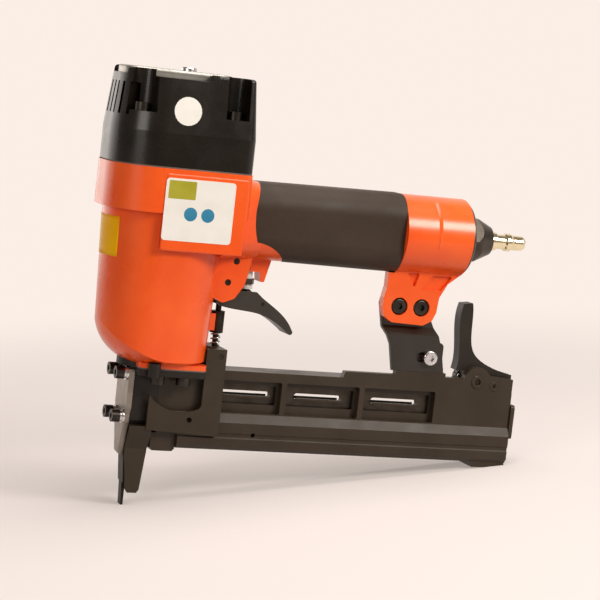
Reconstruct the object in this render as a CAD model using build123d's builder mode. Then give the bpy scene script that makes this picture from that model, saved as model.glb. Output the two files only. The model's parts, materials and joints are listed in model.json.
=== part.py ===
from build123d import *
import os
from math import radians, tan

# Pneumatic flooring stapler, in millimetres.
# The origin lies at the locating tip of the nose. +Z runs up along the driver axis, +X runs back
# towards the air plug. The tool is symmetric about Y = 0 apart from the bracket, its bolts and the
# raised near wall of the magazine.

os.makedirs("parts", exist_ok=True)

# ---------------------------------------------------------------- driving dimensions
# heights along the driver axis
tip_z = 0.0
foot_z = 8.4
safety_travel = 6.0
magazine_bottom_z = 38.4
magazine_top_z = 87.6
nose_flange_top_z = 87.2
gasket_thickness = 0.8
collar_bottom_z = 182.5
seam_z = 210.0
cap_shoulder_rise = 20.0
cap_rise = 52.0
cap_boss_rise = 4.0

# plan of the cap and collar, measured from the driver axis
cap_front = 34.2
cap_rear = 50.0
cap_half_width = 34.0
cap_front_radius = 28.0
cap_rear_radius = 6.0
cap_taper = 5.6
collar_step = 0.4

# barrel below the collar
barrel_radius = 31.2
barrel_rear_offset = 13.0
barrel_taper = 2.0
barrel_bottom_round = 30.0
round_inner = 11.9
body_pad_height = 3.0
label_pad_inset = 0.4

# cylinder, piston and driver
bore_radius = 20.0
sleeve_wall = 2.2
body_bore_radius = 25.5
stroke = 71.0
piston_height = 16.0
bumper_height = 20.0
bumper_neck_height = 12.0
bumper_neck_radius = 15.6
seat_clearance = 0.4
spigot_radius = 13.0
running_gap = 0.05
driver_thickness = 1.3
driver_width = 6.6
channel_clearance = 0.15

# cap chambers
head_chamber_radius, head_chamber_height = 26.0, 21.0
exhaust_port_radius = 9.0
muffler_radius, muffler_floor = 20.0, 27.0
exhaust_slot_width = 2.4
cap_deck_thickness = 3.0
screw_pocket_radius = 7.2
deck_front_x, deck_rear_x = -14.0, 23.0
deck_channel_width = 30.0
deflector_x, deflector_length, deflector_width = 3.0, 64.0, 29.0
deflector_thickness = 4.6
deflector_screw_x = 13.0
deflector_rib_length, deflector_rib_width = 18.0, 7.0

# handle
handle_z = 180.6
grip_front_x = 58.0
grip_rear_x = 158.0
grip_half_height_front = 23.7
grip_half_height_rear = 24.7
grip_half_width = 20.5
grip_wall = 3.6
grip_round = 15.0
neck_z, neck_width, neck_height, neck_round = 183.0, 58.0, 50.0, 10.0
barrel_axis_z = 180.0
air_bore_radius = 13.5
air_bore_front_x = 72.0
rear_barrel_radius = 25.1
counterbore_radius = 20.9
counterbore_depth = 16.0
rear_barrel_end_x = 203.0
end_cap_thickness = 2.5
nut_length = 18.5
plug_length = 25.0
plug_radius = 5.95

# trigger and valve
trigger_pin_x, trigger_pin_z = 47.8, 142.2
valve_pin_x, valve_pin_z = 52.0, 155.4
valve_x = 64.2
ear_half_width = 13.0
trigger_slot_half_width = 8.5
trigger_half_width = 8.2
trigger_wall = 2.0
arm_pin_x, arm_pin_z = 73.5, 129.8
pin_radius = 1.95
pin_gap = 0.05
fin_half_width = 5.5
fin_hole_x, fin_hole_z, fin_hole_radius = 69.6, 146.4, 1.1
valve_bore_bottom_z, valve_boss_z, valve_top_z = 140.0, 149.2, 174.0
valve_bore_radius = 4.6

# safety linkage
rod_x = 48.0
rod_radius = 1.8
guide_tube_bottom_z = 109.6
guide_tube_top_z = 123.0
guide_tube_radius = 4.2
guide_boss_x, guide_boss_z, guide_boss_height = 42.0, 111.0, 10.5
guide_boss_length, guide_boss_width = 8.0, 7.0
spring_radius = 3.3
spring_wire = 1.0
yoke_bridge_top_z = 101.0
yoke_plate = 2.0

# nose
front_plate_face_x = -8.0
front_plate_thickness = 3.4
front_plate_half_width = 12.0
nose_half_width = 5.2
flange_rear_x = 38.0
flange_half_width = 22.0
flange_round = 4.0
nose_flange_thickness = 4.0
nose_boss_radius = 3.8
plate_screw_y = 7.6
plate_screw_high_z = 82.4
plate_screw_low_z = 55.8

# magazine
magazine_front_x = 12.4
magazine_rear_x = 249.5
magazine_half_width = 13.0
bottom_half_width = 10.8
bead_half_width = 12.4
upper_half_width = 9.6
ledge_top_z = 61.0
ledge_bottom_z = 55.7
window_bottom_z = 61.6
window_top_z = 81.8
window_floor_y = 5.0
rib_pitch = 52.1
first_rib_x = 93.4
rib_width = 3.3
solid_start_x = 196.0
raised_top_z = 91.5
raised_start_x = 131.5
channel_half_width = 3.4
channel_bottom_z = 41.5
channel_top_z = 81.4
slot_z = 72.7
slot_height = 4.0
slot_length = 32.0
rail_half_width = 1.9
rear_foot_x = 226.5
rear_foot_z = 34.8

# latch and bracket
latch_pivot_x, latch_pivot_z = 224.4, 89.6
latch_half_width = 4.3
latch_slot_half_width = 4.6
latch_floor_z = 83.0
bracket_thickness = 2.6
lug_bolt_front_x, lug_bolt_rear_x, lug_bolt_z = 163.7, 178.8, 134.9
lug_outer_y, lug_inner_y = -10.5, -4.6
lug_head_recess = 3.4
lug_pocket_depth = 2.4
bracket_screw_x, bracket_screw_z = 188.6, 103.5
bracket_lower_y = -7.0
tongue_gap = 0.1

# fasteners
m4_radius = 2.0
m5_radius, m5_head_radius, m5_head_height = 2.5, 4.25, 5.0
m6_radius, m6_head_radius, m6_head_height = 3.0, 5.2, 3.3
drive_depth_share = 0.55
small_drive_radius, large_drive_radius = 1.9, 2.3

CENTRE = (Align.CENTER, Align.CENTER, Align.CENTER)
UP = (Align.CENTER, Align.CENTER, Align.MIN)
DOWN = (Align.CENTER, Align.CENTER, Align.MAX)

# sizes that follow from the ones above
nose_front_x = front_plate_face_x + front_plate_thickness
body_top_z = seam_z - gasket_thickness
body_bottom_z = nose_flange_top_z + gasket_thickness
sleeve_radius = bore_radius + sleeve_wall
bumper_bottom_z = body_bottom_z + 9.0
sleeve_bottom_z = bumper_bottom_z + bumper_neck_height
piston_bottom_z = bumper_bottom_z + bumper_height + stroke
piston_top_z = piston_bottom_z + piston_height
nose_block_bottom_z = foot_z + safety_travel
cap_shoulder_z = seam_z + cap_shoulder_rise
cap_top_z = seam_z + cap_rise
cap_boss_top_z = cap_top_z + cap_boss_rise
cap_ledge_z = cap_top_z - 21.0
front_screw_x, front_screw_y = 13.2 - cap_front, cap_half_width - 10.0
rear_screw_x, rear_screw_y = cap_rear - 14.0, cap_half_width - 7.5
cap_screw_places = [(front_screw_x, front_screw_y), (front_screw_x, -front_screw_y),
                    (rear_screw_x, rear_screw_y), (rear_screw_x, -rear_screw_y)]
label_pad_half_width = cap_half_width - label_pad_inset
nose_screw_places = [(x, y) for x in (8.0, 24.0) for y in (18.5, -18.5)]
nose_boss_places = [(3.5, 24.5), (3.5, -24.5)]
plate_screw_places = [(y, z) for y in (-plate_screw_y, plate_screw_y)
                      for z in (plate_screw_low_z, plate_screw_high_z)]
sleeve_top_z = seam_z + 0.3
muffler_bottom_z = seam_z + muffler_floor


def d_plan(front, rear, half_width, front_radius, rear_radius):
    """Plan of the cap: broad round front, flat flanks and tight rear corners."""
    with Locations(((rear - front) / 2, 0)):
        Rectangle(front + rear, 2 * half_width)
    fillet(vertices().group_by(Axis.X)[0], front_radius)
    fillet(vertices().group_by(Axis.X)[-1], rear_radius)


def side_outline(*points):
    """Straight-sided outline from (x, z) points in the side view."""
    Polygon(*points, align=None)


def nose_flange():
    """Plan of the nose flange, its gasket and the pad above them."""
    with Locations(((nose_front_x + flange_rear_x) / 2, 0)):
        RectangleRounded(flange_rear_x - nose_front_x, 2 * flange_half_width, flange_round)


def grip_section(half_height):
    """Cross-section of the grip at either end."""
    with Locations((0, handle_z)):
        RectangleRounded(2 * grip_half_width, 2 * half_height, grip_round)


def barrel_disc(radius, mode=Mode.ADD):
    """Circle round the axis of the rear barrel and the air plug."""
    with Locations((0, barrel_axis_z)):
        Circle(radius, mode=mode)


def coil_spring(radius, wire, bottom_z, top_z, turns, x=0.0):
    """Upright spring with its end coils inside the given heights; six-sided wire keeps its mesh light."""
    height = top_z - bottom_z - wire
    with BuildPart() as spring:
        with BuildLine() as coil:
            Helix(height / turns, height, radius - wire / 2, center=(x, 0, bottom_z + wire / 2))
        with BuildSketch(Plane(origin=coil.line @ 0, z_dir=coil.line % 0)):
            RegularPolygon(wire / 2, 6)
        sweep(path=coil.line, is_frenet=True)
    return spring.part


# ---------------------------------------------------------------- grip
neck_front_x = 38.0
neck_rear_x = 64.0
grip_scoop_x = 82.5
core_half_height = grip_half_height_front - grip_wall
core_half_width = grip_half_width - grip_wall
grip_bottom_front_z = handle_z - grip_half_height_front
grip_bottom_rear_z = handle_z - grip_half_height_rear

# side view of the sleeve: bowed front edge, lower front corner scooped out round the valve boss
with BuildSketch(Plane.XZ) as grip_region:
    with BuildLine():
        ThreePointArc((neck_rear_x, handle_z + 28), (grip_front_x, handle_z), (61.0, 168.6))
        ThreePointArc((61.0, 168.6), (72.9, 165.2), (grip_scoop_x, grip_bottom_front_z))
        Polyline((grip_scoop_x, grip_bottom_front_z), (grip_rear_x, grip_bottom_rear_z),
                 (grip_rear_x, handle_z + 28), (neck_rear_x, handle_z + 28))
    make_face()

with BuildPart() as handle_core:
    with BuildSketch(Plane.YZ.offset(neck_front_x)):
        with Locations((0, handle_z)):
            RectangleRounded(2 * core_half_width, 2 * core_half_height, grip_round - 1)
    extrude(amount=grip_rear_x + 2 - neck_front_x)

with BuildPart() as grip_space:
    extrude(grip_region.sketch, amount=2 * grip_half_width, both=True)
    add(handle_core.part, mode=Mode.SUBTRACT)

with BuildPart() as grip_sleeve:
    with BuildSketch(Plane.YZ.offset(neck_front_x)):
        grip_section(grip_half_height_front)
    with BuildSketch(Plane.YZ.offset(grip_rear_x)):
        grip_section(grip_half_height_rear)
    loft()
    add(grip_space.part, mode=Mode.INTERSECT)
grip_sleeve.part.label = "grip_sleeve"
export_step(grip_sleeve.part, "parts/grip_sleeve.step")

# ---------------------------------------------------------------- main body casting
pad_bottom_z = 160.5
pad_front_x = -4.5
pad_rear_x = 47.0
barrel_height = collar_bottom_z - body_bottom_z
round_start_x = barrel_rear_offset - round_inner
round_end_x = round_start_x - barrel_bottom_round
round_top_z = body_bottom_z + barrel_bottom_round

with BuildPart() as main_body:
    # collar under the cap
    with BuildSketch(Plane.XY.offset(collar_bottom_z)):
        d_plan(cap_front + collar_step, cap_rear + collar_step, cap_half_width + collar_step,
               cap_front_radius, cap_rear_radius)
    extrude(amount=body_top_z - collar_bottom_z)
    # barrel, tapering towards the nose
    with BuildSketch(Plane.XY.offset(collar_bottom_z)):
        with Locations((barrel_rear_offset / 2, 0)):
            SlotCenterToCenter(barrel_rear_offset, 2 * barrel_radius)
    extrude(amount=-barrel_height, taper=barrel_taper)
    # rounded lower front of the barrel, above a pad that takes the nose flange
    with BuildSketch(Plane.XZ):
        with BuildLine():
            Polyline((round_start_x, body_bottom_z), (round_start_x, 0), (-2 * barrel_radius, 0),
                     (-2 * barrel_radius, round_top_z), (round_end_x, round_top_z))
            RadiusArc((round_end_x, round_top_z), (round_start_x, body_bottom_z), -barrel_bottom_round)
        make_face()
    revolve(axis=Axis((barrel_rear_offset, 0, 0), (0, 0, 1)), mode=Mode.SUBTRACT)
    with BuildSketch(Plane.XY.offset(body_bottom_z)):
        nose_flange()
    extrude(amount=body_pad_height)
    # label pads on both flanks
    with BuildSketch(Plane.XZ):
        with Locations(((pad_front_x + pad_rear_x) / 2, (pad_bottom_z + collar_bottom_z) / 2 + 1)):
            RectangleRounded(pad_rear_x - pad_front_x, collar_bottom_z - pad_bottom_z + 2, 0.9)
    extrude(amount=label_pad_half_width, both=True)
    # neck between barrel and grip
    with BuildSketch(Plane.YZ.offset(neck_front_x)):
        with Locations((0, neck_z)):
            RectangleRounded(neck_width, neck_height, neck_round)
    with BuildSketch(Plane.YZ.offset(neck_rear_x)):
        grip_section(grip_half_height_front)
    loft()
    with BuildSketch(Plane.YZ.offset(neck_rear_x)):
        grip_section(grip_half_height_front)
    extrude(amount=grip_scoop_x + 2 - neck_rear_x)
    # seat of the grip sleeve, with the handle core through it, and the rear barrel
    add(grip_space.part, mode=Mode.SUBTRACT)
    add(handle_core.part)
    with BuildSketch(Plane.YZ.offset(grip_rear_x)):
        barrel_disc(rear_barrel_radius)
    extrude(amount=rear_barrel_end_x - grip_rear_x)
    # trigger ears and valve boss
    with BuildSketch(Plane.XZ):
        side_outline((28, 165), (63, 165), (60.5, 149.5), (58.5, 141), (53, 132.5), (45.5, 129.5),
                     (38, 133), (28, 141))
        fillet(vertices().filter_by(lambda v: v.Y < 142 and v.X > 30), 3)
    extrude(amount=ear_half_width, both=True)
    with BuildSketch(Plane.XZ):
        side_outline((56, 165), (81.5, 165), (77.3, 158.5), (73.6, 143.2), (71.2, 143.2), (70.4, valve_boss_z),
                     (56, valve_boss_z))
    extrude(amount=fin_half_width, both=True)
    # lug plate for the magazine bracket, on the near flank
    with BuildSketch(Plane.XZ.offset(-lug_inner_y)):
        side_outline((153.8, 166), (153.8, 146), (152.4, 140), (152.4, 133), (154.4, 127.8), (159.5, 124.6),
                     (181, 123.8), (187, 127), (189.4, 132.5), (190.2, 142), (195, 151),
                     (rear_barrel_end_x - 0.5, 157), (rear_barrel_end_x - 0.5, 166))
        fillet(vertices().filter_by(lambda v: v.Y < lug_bolt_z + 1), 2.5)
    extrude(amount=lug_inner_y - lug_outer_y)
    # two shallow pockets that leave a slanting rib across the lug
    with BuildSketch(Plane.XZ.offset(-lug_outer_y)):
        side_outline((166.8, 156.6), (175.2, 156.6), (172.4, 147))
        side_outline((176.6, 146.4), (184.4, 156), (198, 156), (192.2, 148.6), (190.6, 146.4))
        fillet(vertices(), 0.8)
    extrude(amount=-lug_pocket_depth, mode=Mode.SUBTRACT)
    add(grip_space.part, mode=Mode.SUBTRACT)

    # cylinder chamber, open at the collar, and bumper seat
    with Locations((0, 0, sleeve_bottom_z)):
        Cylinder(body_bore_radius, body_top_z - sleeve_bottom_z + 1, align=UP, mode=Mode.SUBTRACT)
    with Locations((0, 0, bumper_bottom_z)):
        Cylinder(bumper_neck_radius + seat_clearance, bumper_neck_height + 1, align=UP, mode=Mode.SUBTRACT)
    with Locations((0, 0, body_bottom_z - 1)):
        Cylinder(spigot_radius + 0.2, 12, align=UP, mode=Mode.SUBTRACT)
    # air chamber through the handle, stopped behind the valve
    with BuildSketch(Plane.YZ.offset(rear_barrel_end_x)):
        barrel_disc(air_bore_radius)
    extrude(amount=air_bore_front_x - rear_barrel_end_x, mode=Mode.SUBTRACT)
    with BuildSketch(Plane.YZ.offset(rear_barrel_end_x)):
        barrel_disc(counterbore_radius)
    extrude(amount=-counterbore_depth, mode=Mode.SUBTRACT)
    # trigger slot
    with BuildSketch(Plane.XZ):
        side_outline((41.8, 152.0), (64, 152.0), (64, 120), (41.8, 120))
    extrude(amount=trigger_slot_half_width, both=True, mode=Mode.SUBTRACT)
    # valve bore
    with Locations((valve_x, 0, valve_bore_bottom_z)):
        Cylinder(valve_bore_radius, valve_top_z - valve_bore_bottom_z, align=UP, mode=Mode.SUBTRACT)
    # pin holes
    with Locations(Location((trigger_pin_x, 0, trigger_pin_z), (90, 0, 0)),
                   Location((valve_pin_x, 0, valve_pin_z), (90, 0, 0))):
        Cylinder(pin_radius + pin_gap, 2 * ear_half_width + 2, mode=Mode.SUBTRACT)
    with Locations(Location((fin_hole_x, 0, fin_hole_z), (90, 0, 0))):
        Cylinder(fin_hole_radius, 4 * fin_half_width, mode=Mode.SUBTRACT)
    # bolt holes and head recesses of the lug
    for x in (lug_bolt_front_x, lug_bolt_rear_x):
        with Locations(Location((x, lug_outer_y, lug_bolt_z), (-90, 0, 0))):
            Cylinder(m6_radius + 0.2, 20, align=UP, mode=Mode.SUBTRACT)
            Cylinder(m6_head_radius + 0.4, lug_head_recess, align=UP, mode=Mode.SUBTRACT)
    # tapped holes for the cap screws
    with Locations(*[(x, y, body_top_z + 1) for x, y in cap_screw_places]):
        Cylinder(m5_radius + 0.1, 21, align=DOWN, mode=Mode.SUBTRACT)
    # nose screw holes and the scallops for the two locating bosses
    with Locations(*[(x, y, body_bottom_z - 1) for x, y in nose_screw_places]):
        Cylinder(m5_radius + 0.1, 9, align=UP, mode=Mode.SUBTRACT)
    with Locations(*[(x, y, body_bottom_z - 1) for x, y in nose_boss_places]):
        Cylinder(nose_boss_radius + 0.2, 5, align=UP, mode=Mode.SUBTRACT)
    # boss behind the barrel that carries the safety guide tube
    with BuildSketch(Plane.XY.offset(guide_boss_z)):
        with Locations((guide_boss_x, 0)):
            Rectangle(guide_boss_length, guide_boss_width)
        with Locations((rod_x, 0)):
            Circle(guide_tube_radius + running_gap, mode=Mode.SUBTRACT)
    extrude(amount=guide_boss_height)
main_body.part.label = "main_body"
export_step(main_body.part, "parts/main_body.step")

# ---------------------------------------------------------------- cap and its parts
with BuildPart() as cylinder_cap:
    with BuildSketch(Plane.XY.offset(seam_z)):
        d_plan(cap_front, cap_rear, cap_half_width, cap_front_radius, cap_rear_radius)
    extrude(amount=cap_shoulder_z - seam_z)
    with BuildSketch(Plane.XY.offset(cap_shoulder_z)):
        d_plan(cap_front, cap_rear, cap_half_width, cap_front_radius, cap_rear_radius)
    extrude(amount=cap_boss_top_z - cap_shoulder_z, taper=cap_taper)
    fillet(cylinder_cap.edges().group_by(Axis.Z)[-1], 2.0)
    # sunk deck between the four corner bosses
    with BuildSketch(Plane.XY.offset(cap_boss_top_z)):
        with Locations(((deck_front_x + deck_rear_x) / 2, 0)):
            Rectangle(deck_rear_x - deck_front_x, 3 * cap_half_width)
        Rectangle(3 * cap_rear, deck_channel_width)
    extrude(amount=cap_top_z - cap_boss_top_z, mode=Mode.SUBTRACT)
    # head valve chamber, exhaust port and muffler chamber
    with Locations((0, 0, seam_z - 1)):
        Cylinder(head_chamber_radius, head_chamber_height + 1, align=UP, mode=Mode.SUBTRACT)
    with Locations((0, 0, seam_z)):
        Cylinder(exhaust_port_radius, muffler_floor + 3, align=UP, mode=Mode.SUBTRACT)
    with Locations((0, 0, muffler_bottom_z)):
        Cylinder(muffler_radius, cap_top_z - cap_deck_thickness - muffler_bottom_z, align=UP, mode=Mode.SUBTRACT)
    # exhaust slots in the round front
    for slot_angle in range(-36, 37, 12):
        with BuildSketch(Plane.XY.offset(muffler_bottom_z + 1)):
            with Locations(Location((0, 0, 0), (0, 0, 180 + slot_angle))):
                with Locations((muffler_radius + 8, 0)):
                    Rectangle(24, exhaust_slot_width)
        extrude(amount=cap_top_z - 2 * cap_deck_thickness - muffler_bottom_z, mode=Mode.SUBTRACT)
    # screw pockets, open to the flanks
    for x, y in cap_screw_places:
        side = 1 if y > 0 else -1
        with BuildSketch(Plane.XY.offset(cap_ledge_z)):
            with Locations((x, y)):
                Circle(screw_pocket_radius)
            with Locations((x, y + side * 10)):
                Rectangle(2 * screw_pocket_radius, 20)
        extrude(amount=40, mode=Mode.SUBTRACT)
    with Locations(*[(x, y, seam_z - 1) for x, y in cap_screw_places]):
        Cylinder(m5_radius + 0.25, 40, align=UP, mode=Mode.SUBTRACT)
    # tapped hole for the deflector screw is carried by a rib across the muffler
    with BuildSketch(Plane.XY.offset(muffler_bottom_z)):
        with Locations((deflector_screw_x, 0)):
            Rectangle(deflector_rib_length, deflector_rib_width)
    extrude(amount=cap_top_z - muffler_bottom_z)
    with Locations((deflector_screw_x, 0, cap_top_z + 1)):
        Cylinder(m5_radius, 14, align=DOWN, mode=Mode.SUBTRACT)
cylinder_cap.part.label = "cylinder_cap"
export_step(cylinder_cap.part, "parts/cylinder_cap.step")

with BuildPart() as cap_gasket:
    with BuildSketch(Plane.XY.offset(body_top_z)):
        d_plan(cap_front, cap_rear, cap_half_width, cap_front_radius, cap_rear_radius)
        Circle(head_chamber_radius + 1, mode=Mode.SUBTRACT)
        with Locations(*cap_screw_places):
            Circle(m5_radius + 0.3, mode=Mode.SUBTRACT)
    extrude(amount=gasket_thickness)
cap_gasket.part.label = "cap_gasket"
export_step(cap_gasket.part, "parts/cap_gasket.step")

cap_screw_length = 50.0
with BuildPart() as cap_screws:
    with Locations(*[(x, y, cap_ledge_z) for x, y in cap_screw_places]):
        Cylinder(m5_head_radius, m5_head_height, align=UP)
        Cylinder(m5_radius, cap_screw_length, align=DOWN)
    with BuildSketch(Plane.XY.offset(cap_ledge_z + m5_head_height)):
        with Locations(*cap_screw_places):
            RegularPolygon(large_drive_radius, 6)
    extrude(amount=-m5_head_height * drive_depth_share, mode=Mode.SUBTRACT)
cap_screws.part.label = "cap_screws"
export_step(cap_screws.part, "parts/cap_screws.step")

with BuildPart() as exhaust_deflector:
    with BuildSketch(Plane.XY.offset(cap_top_z)):
        with Locations((deflector_x, 0)):
            Rectangle(deflector_length, deflector_width)
        fillet(vertices().group_by(Axis.X)[0], 9)
        fillet(vertices().group_by(Axis.X)[-1], 4)
    extrude(amount=deflector_thickness)
    fillet(exhaust_deflector.edges().group_by(Axis.Z)[-1], 1.4)
    with Locations((deflector_screw_x, 0, cap_top_z - 1)):
        Cylinder(m5_radius + 0.25, 8, align=UP, mode=Mode.SUBTRACT)
exhaust_deflector.part.label = "exhaust_deflector"
export_step(exhaust_deflector.part, "parts/exhaust_deflector.step")

button_head_height = 2.4
with BuildPart() as deflector_screw:
    with Locations((deflector_screw_x, 0, cap_top_z + deflector_thickness)):
        Cylinder(m5_head_radius + 0.4, button_head_height, align=UP)
        Cylinder(m5_radius - 0.05, 15, align=DOWN)
    fillet(deflector_screw.edges().group_by(Axis.Z)[-1], 1.0)
    with BuildSketch(Plane.XY.offset(cap_top_z + deflector_thickness + button_head_height)):
        with Locations((deflector_screw_x, 0)):
            RegularPolygon(small_drive_radius, 6)
    extrude(amount=-1.6, mode=Mode.SUBTRACT)
deflector_screw.part.label = "deflector_screw"
export_step(deflector_screw.part, "parts/deflector_screw.step")

head_valve_gap = 0.3
head_valve_bottom_z = sleeve_top_z + head_valve_gap
head_valve_disc = 8.0
head_valve_top_z = head_valve_bottom_z + head_valve_disc
spring_groove_outer, spring_groove_inner, spring_groove_depth = 16.0, 12.0, 3.0
with BuildPart() as head_valve:
    with Locations((0, 0, head_valve_bottom_z)):
        Cylinder(head_chamber_radius - 0.1, head_valve_disc, align=UP)
        Cylinder(17.0, 2.0, align=UP, mode=Mode.SUBTRACT)
    with Locations((0, 0, head_valve_top_z)):
        Cylinder(exhaust_port_radius - 0.1, head_valve_disc, align=UP)
        # spring groove
        Cylinder(spring_groove_outer, spring_groove_depth, align=DOWN, mode=Mode.SUBTRACT)
        Cylinder(spring_groove_inner, spring_groove_depth, align=DOWN)
head_valve.part.label = "head_valve"
export_step(head_valve.part, "parts/head_valve.step")

# ---------------------------------------------------------------- cylinder and piston
sleeve_flange_height = 8.0
sleeve_flange_places = (sleeve_bottom_z, sleeve_top_z - sleeve_flange_height - 0.6)
o_ring_z, o_ring_height, o_ring_depth = 2.8, 2.2, 2.0
ring_groove_z, ring_groove_height, ring_groove_depth = 4.0, 3.0, 2.4
driver_socket_depth = 6.0
port_radius = 1.5
return_port_z = bumper_bottom_z + bumper_height + 4

with BuildPart() as cylinder_sleeve:
    with Locations((0, 0, sleeve_bottom_z)):
        Cylinder(sleeve_radius, sleeve_top_z - sleeve_bottom_z, align=UP)
        Cylinder(bore_radius, sleeve_top_z - sleeve_bottom_z, align=UP, mode=Mode.SUBTRACT)
    # lower and upper flanges that seat in the body bore
    for flange_z in sleeve_flange_places:
        with BuildSketch(Plane.XY.offset(flange_z)):
            Circle(body_bore_radius - running_gap)
            Circle(sleeve_radius - 1, mode=Mode.SUBTRACT)
        extrude(amount=sleeve_flange_height)
        with BuildSketch(Plane.XY.offset(flange_z + o_ring_z)):
            Circle(body_bore_radius + 1)
            Circle(body_bore_radius - o_ring_depth, mode=Mode.SUBTRACT)
        extrude(amount=o_ring_height + 0.2, mode=Mode.SUBTRACT)
    # return-air ports just above the bumper
    with Locations(*[Location((0, 0, return_port_z), (0, 90, turn)) for turn in (0, 60, 120)]):
        Cylinder(port_radius, 60, mode=Mode.SUBTRACT)
cylinder_sleeve.part.label = "cylinder_sleeve"
export_step(cylinder_sleeve.part, "parts/cylinder_sleeve.step")

with BuildPart() as sleeve_o_rings:
    for flange_z in sleeve_flange_places:
        with BuildSketch(Plane.XY.offset(flange_z + o_ring_z + 0.1)):
            Circle(body_bore_radius)
            Circle(body_bore_radius - o_ring_depth, mode=Mode.SUBTRACT)
        extrude(amount=o_ring_height)
sleeve_o_rings.part.label = "sleeve_o_rings"
export_step(sleeve_o_rings.part, "parts/sleeve_o_rings.step")

with BuildPart() as piston:
    with Locations((0, 0, piston_bottom_z)):
        Cylinder(bore_radius - running_gap, piston_height, align=UP)
        Cylinder(6, 3, align=DOWN)
    with BuildSketch(Plane.XY.offset(piston_bottom_z + ring_groove_z)):
        Circle(bore_radius + 1)
        Circle(bore_radius - ring_groove_depth, mode=Mode.SUBTRACT)
    extrude(amount=ring_groove_height, mode=Mode.SUBTRACT)
    with Locations((0, 0, piston_top_z)):
        Cylinder(14, 4, align=DOWN, mode=Mode.SUBTRACT)
    with Locations((0, 0, piston_bottom_z - 4)):
        Box(driver_thickness, driver_width, driver_socket_depth + 4, align=UP, mode=Mode.SUBTRACT)
piston.part.label = "piston"
export_step(piston.part, "parts/piston.step")

with BuildPart() as piston_ring:
    with BuildSketch(Plane.XY.offset(piston_bottom_z + ring_groove_z + 0.1)):
        Circle(bore_radius - 0.02)
        Circle(bore_radius - ring_groove_depth, mode=Mode.SUBTRACT)
    extrude(amount=ring_groove_height - 0.2)
piston_ring.part.label = "piston_ring"
export_step(piston_ring.part, "parts/piston_ring.step")

driver_bottom_z = nose_block_bottom_z - 1.0 + stroke
with BuildPart() as driver_blade:
    with Locations((0, 0, driver_bottom_z)):
        Box(driver_thickness, driver_width, piston_bottom_z + driver_socket_depth - driver_bottom_z, align=UP)
driver_blade.part.label = "driver_blade"
export_step(driver_blade.part, "parts/driver_blade.step")

with BuildPart() as bumper:
    with Locations((0, 0, sleeve_bottom_z)):
        Cylinder(bore_radius - seat_clearance, bumper_height - bumper_neck_height, align=UP)
        Cylinder(bumper_neck_radius, bumper_neck_height, align=DOWN)
    fillet(bumper.edges().group_by(Axis.Z)[-1], 3)
    with Locations((0, 0, bumper_bottom_z)):
        Cylinder(6.6, bumper_height, align=UP, mode=Mode.SUBTRACT)
bumper.part.label = "bumper"
export_step(bumper.part, "parts/bumper.step")

# ---------------------------------------------------------------- rear end: end cap, filter, nut and plug
end_cap_radius = rear_barrel_radius - 1.2
end_cap_face_x = rear_barrel_end_x + end_cap_thickness
inlet_thread_radius = 10.0
nut_corner_radius = 15.6
hexagon_length = 5.5
cone_end_radius = 9.2
plug_start_x = end_cap_face_x + nut_length
plug_bore_radius = 2.8

with BuildPart() as end_cap:
    with BuildSketch(Plane.YZ.offset(rear_barrel_end_x)):
        barrel_disc(end_cap_radius)
    extrude(amount=end_cap_thickness)
    chamfer(end_cap.edges().group_by(Axis.X)[-1], 1.2)
    with BuildSketch(Plane.YZ.offset(rear_barrel_end_x)):
        barrel_disc(counterbore_radius - running_gap)
    extrude(amount=-8)
    with BuildSketch(Plane.YZ.offset(rear_barrel_end_x + end_cap_thickness)):
        barrel_disc(inlet_thread_radius)
    extrude(amount=-20, mode=Mode.SUBTRACT)
end_cap.part.label = "end_cap"
export_step(end_cap.part, "parts/end_cap.step")

with BuildPart() as inlet_filter:
    with BuildSketch(Plane.YZ.offset(rear_barrel_end_x - counterbore_depth)):
        barrel_disc(counterbore_radius - 0.2)
    extrude(amount=4)
    with BuildSketch(Plane.YZ.offset(rear_barrel_end_x - counterbore_depth)):
        with Locations((0, barrel_axis_z)):
            with PolarLocations(7.0, 6):
                Circle(2.2)
            Circle(2.2)
    extrude(amount=4, mode=Mode.SUBTRACT)
inlet_filter.part.label = "inlet_filter"
export_step(inlet_filter.part, "parts/inlet_filter.step")

with BuildPart() as inlet_nut:
    with BuildSketch(Plane.YZ.offset(end_cap_face_x)):
        with Locations((0, barrel_axis_z)):
            RegularPolygon(nut_corner_radius, 6)
    extrude(amount=nut_length)
    # the hexagon is turned down to a cone towards the plug
    with BuildSketch(Plane.XZ):
        with BuildLine():
            Polyline((end_cap_face_x, barrel_axis_z), (end_cap_face_x, barrel_axis_z + nut_corner_radius - 0.9),
                     (end_cap_face_x + 1.2, barrel_axis_z + nut_corner_radius),
                     (end_cap_face_x + hexagon_length, barrel_axis_z + nut_corner_radius),
                     (plug_start_x, barrel_axis_z + cone_end_radius), (plug_start_x, barrel_axis_z),
                     (end_cap_face_x, barrel_axis_z))
        make_face()
    revolve(axis=Axis((0, 0, barrel_axis_z), (1, 0, 0)), mode=Mode.INTERSECT)
    with BuildSketch(Plane.YZ.offset(end_cap_face_x)):
        barrel_disc(inlet_thread_radius - running_gap)
    extrude(amount=-10)
    with BuildSketch(Plane.YZ.offset(plug_start_x)):
        barrel_disc(plug_radius - 0.6)
    extrude(amount=-(nut_length + 10), mode=Mode.SUBTRACT)
inlet_nut.part.label = "inlet_nut"
export_step(inlet_nut.part, "parts/inlet_nut.step")

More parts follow.
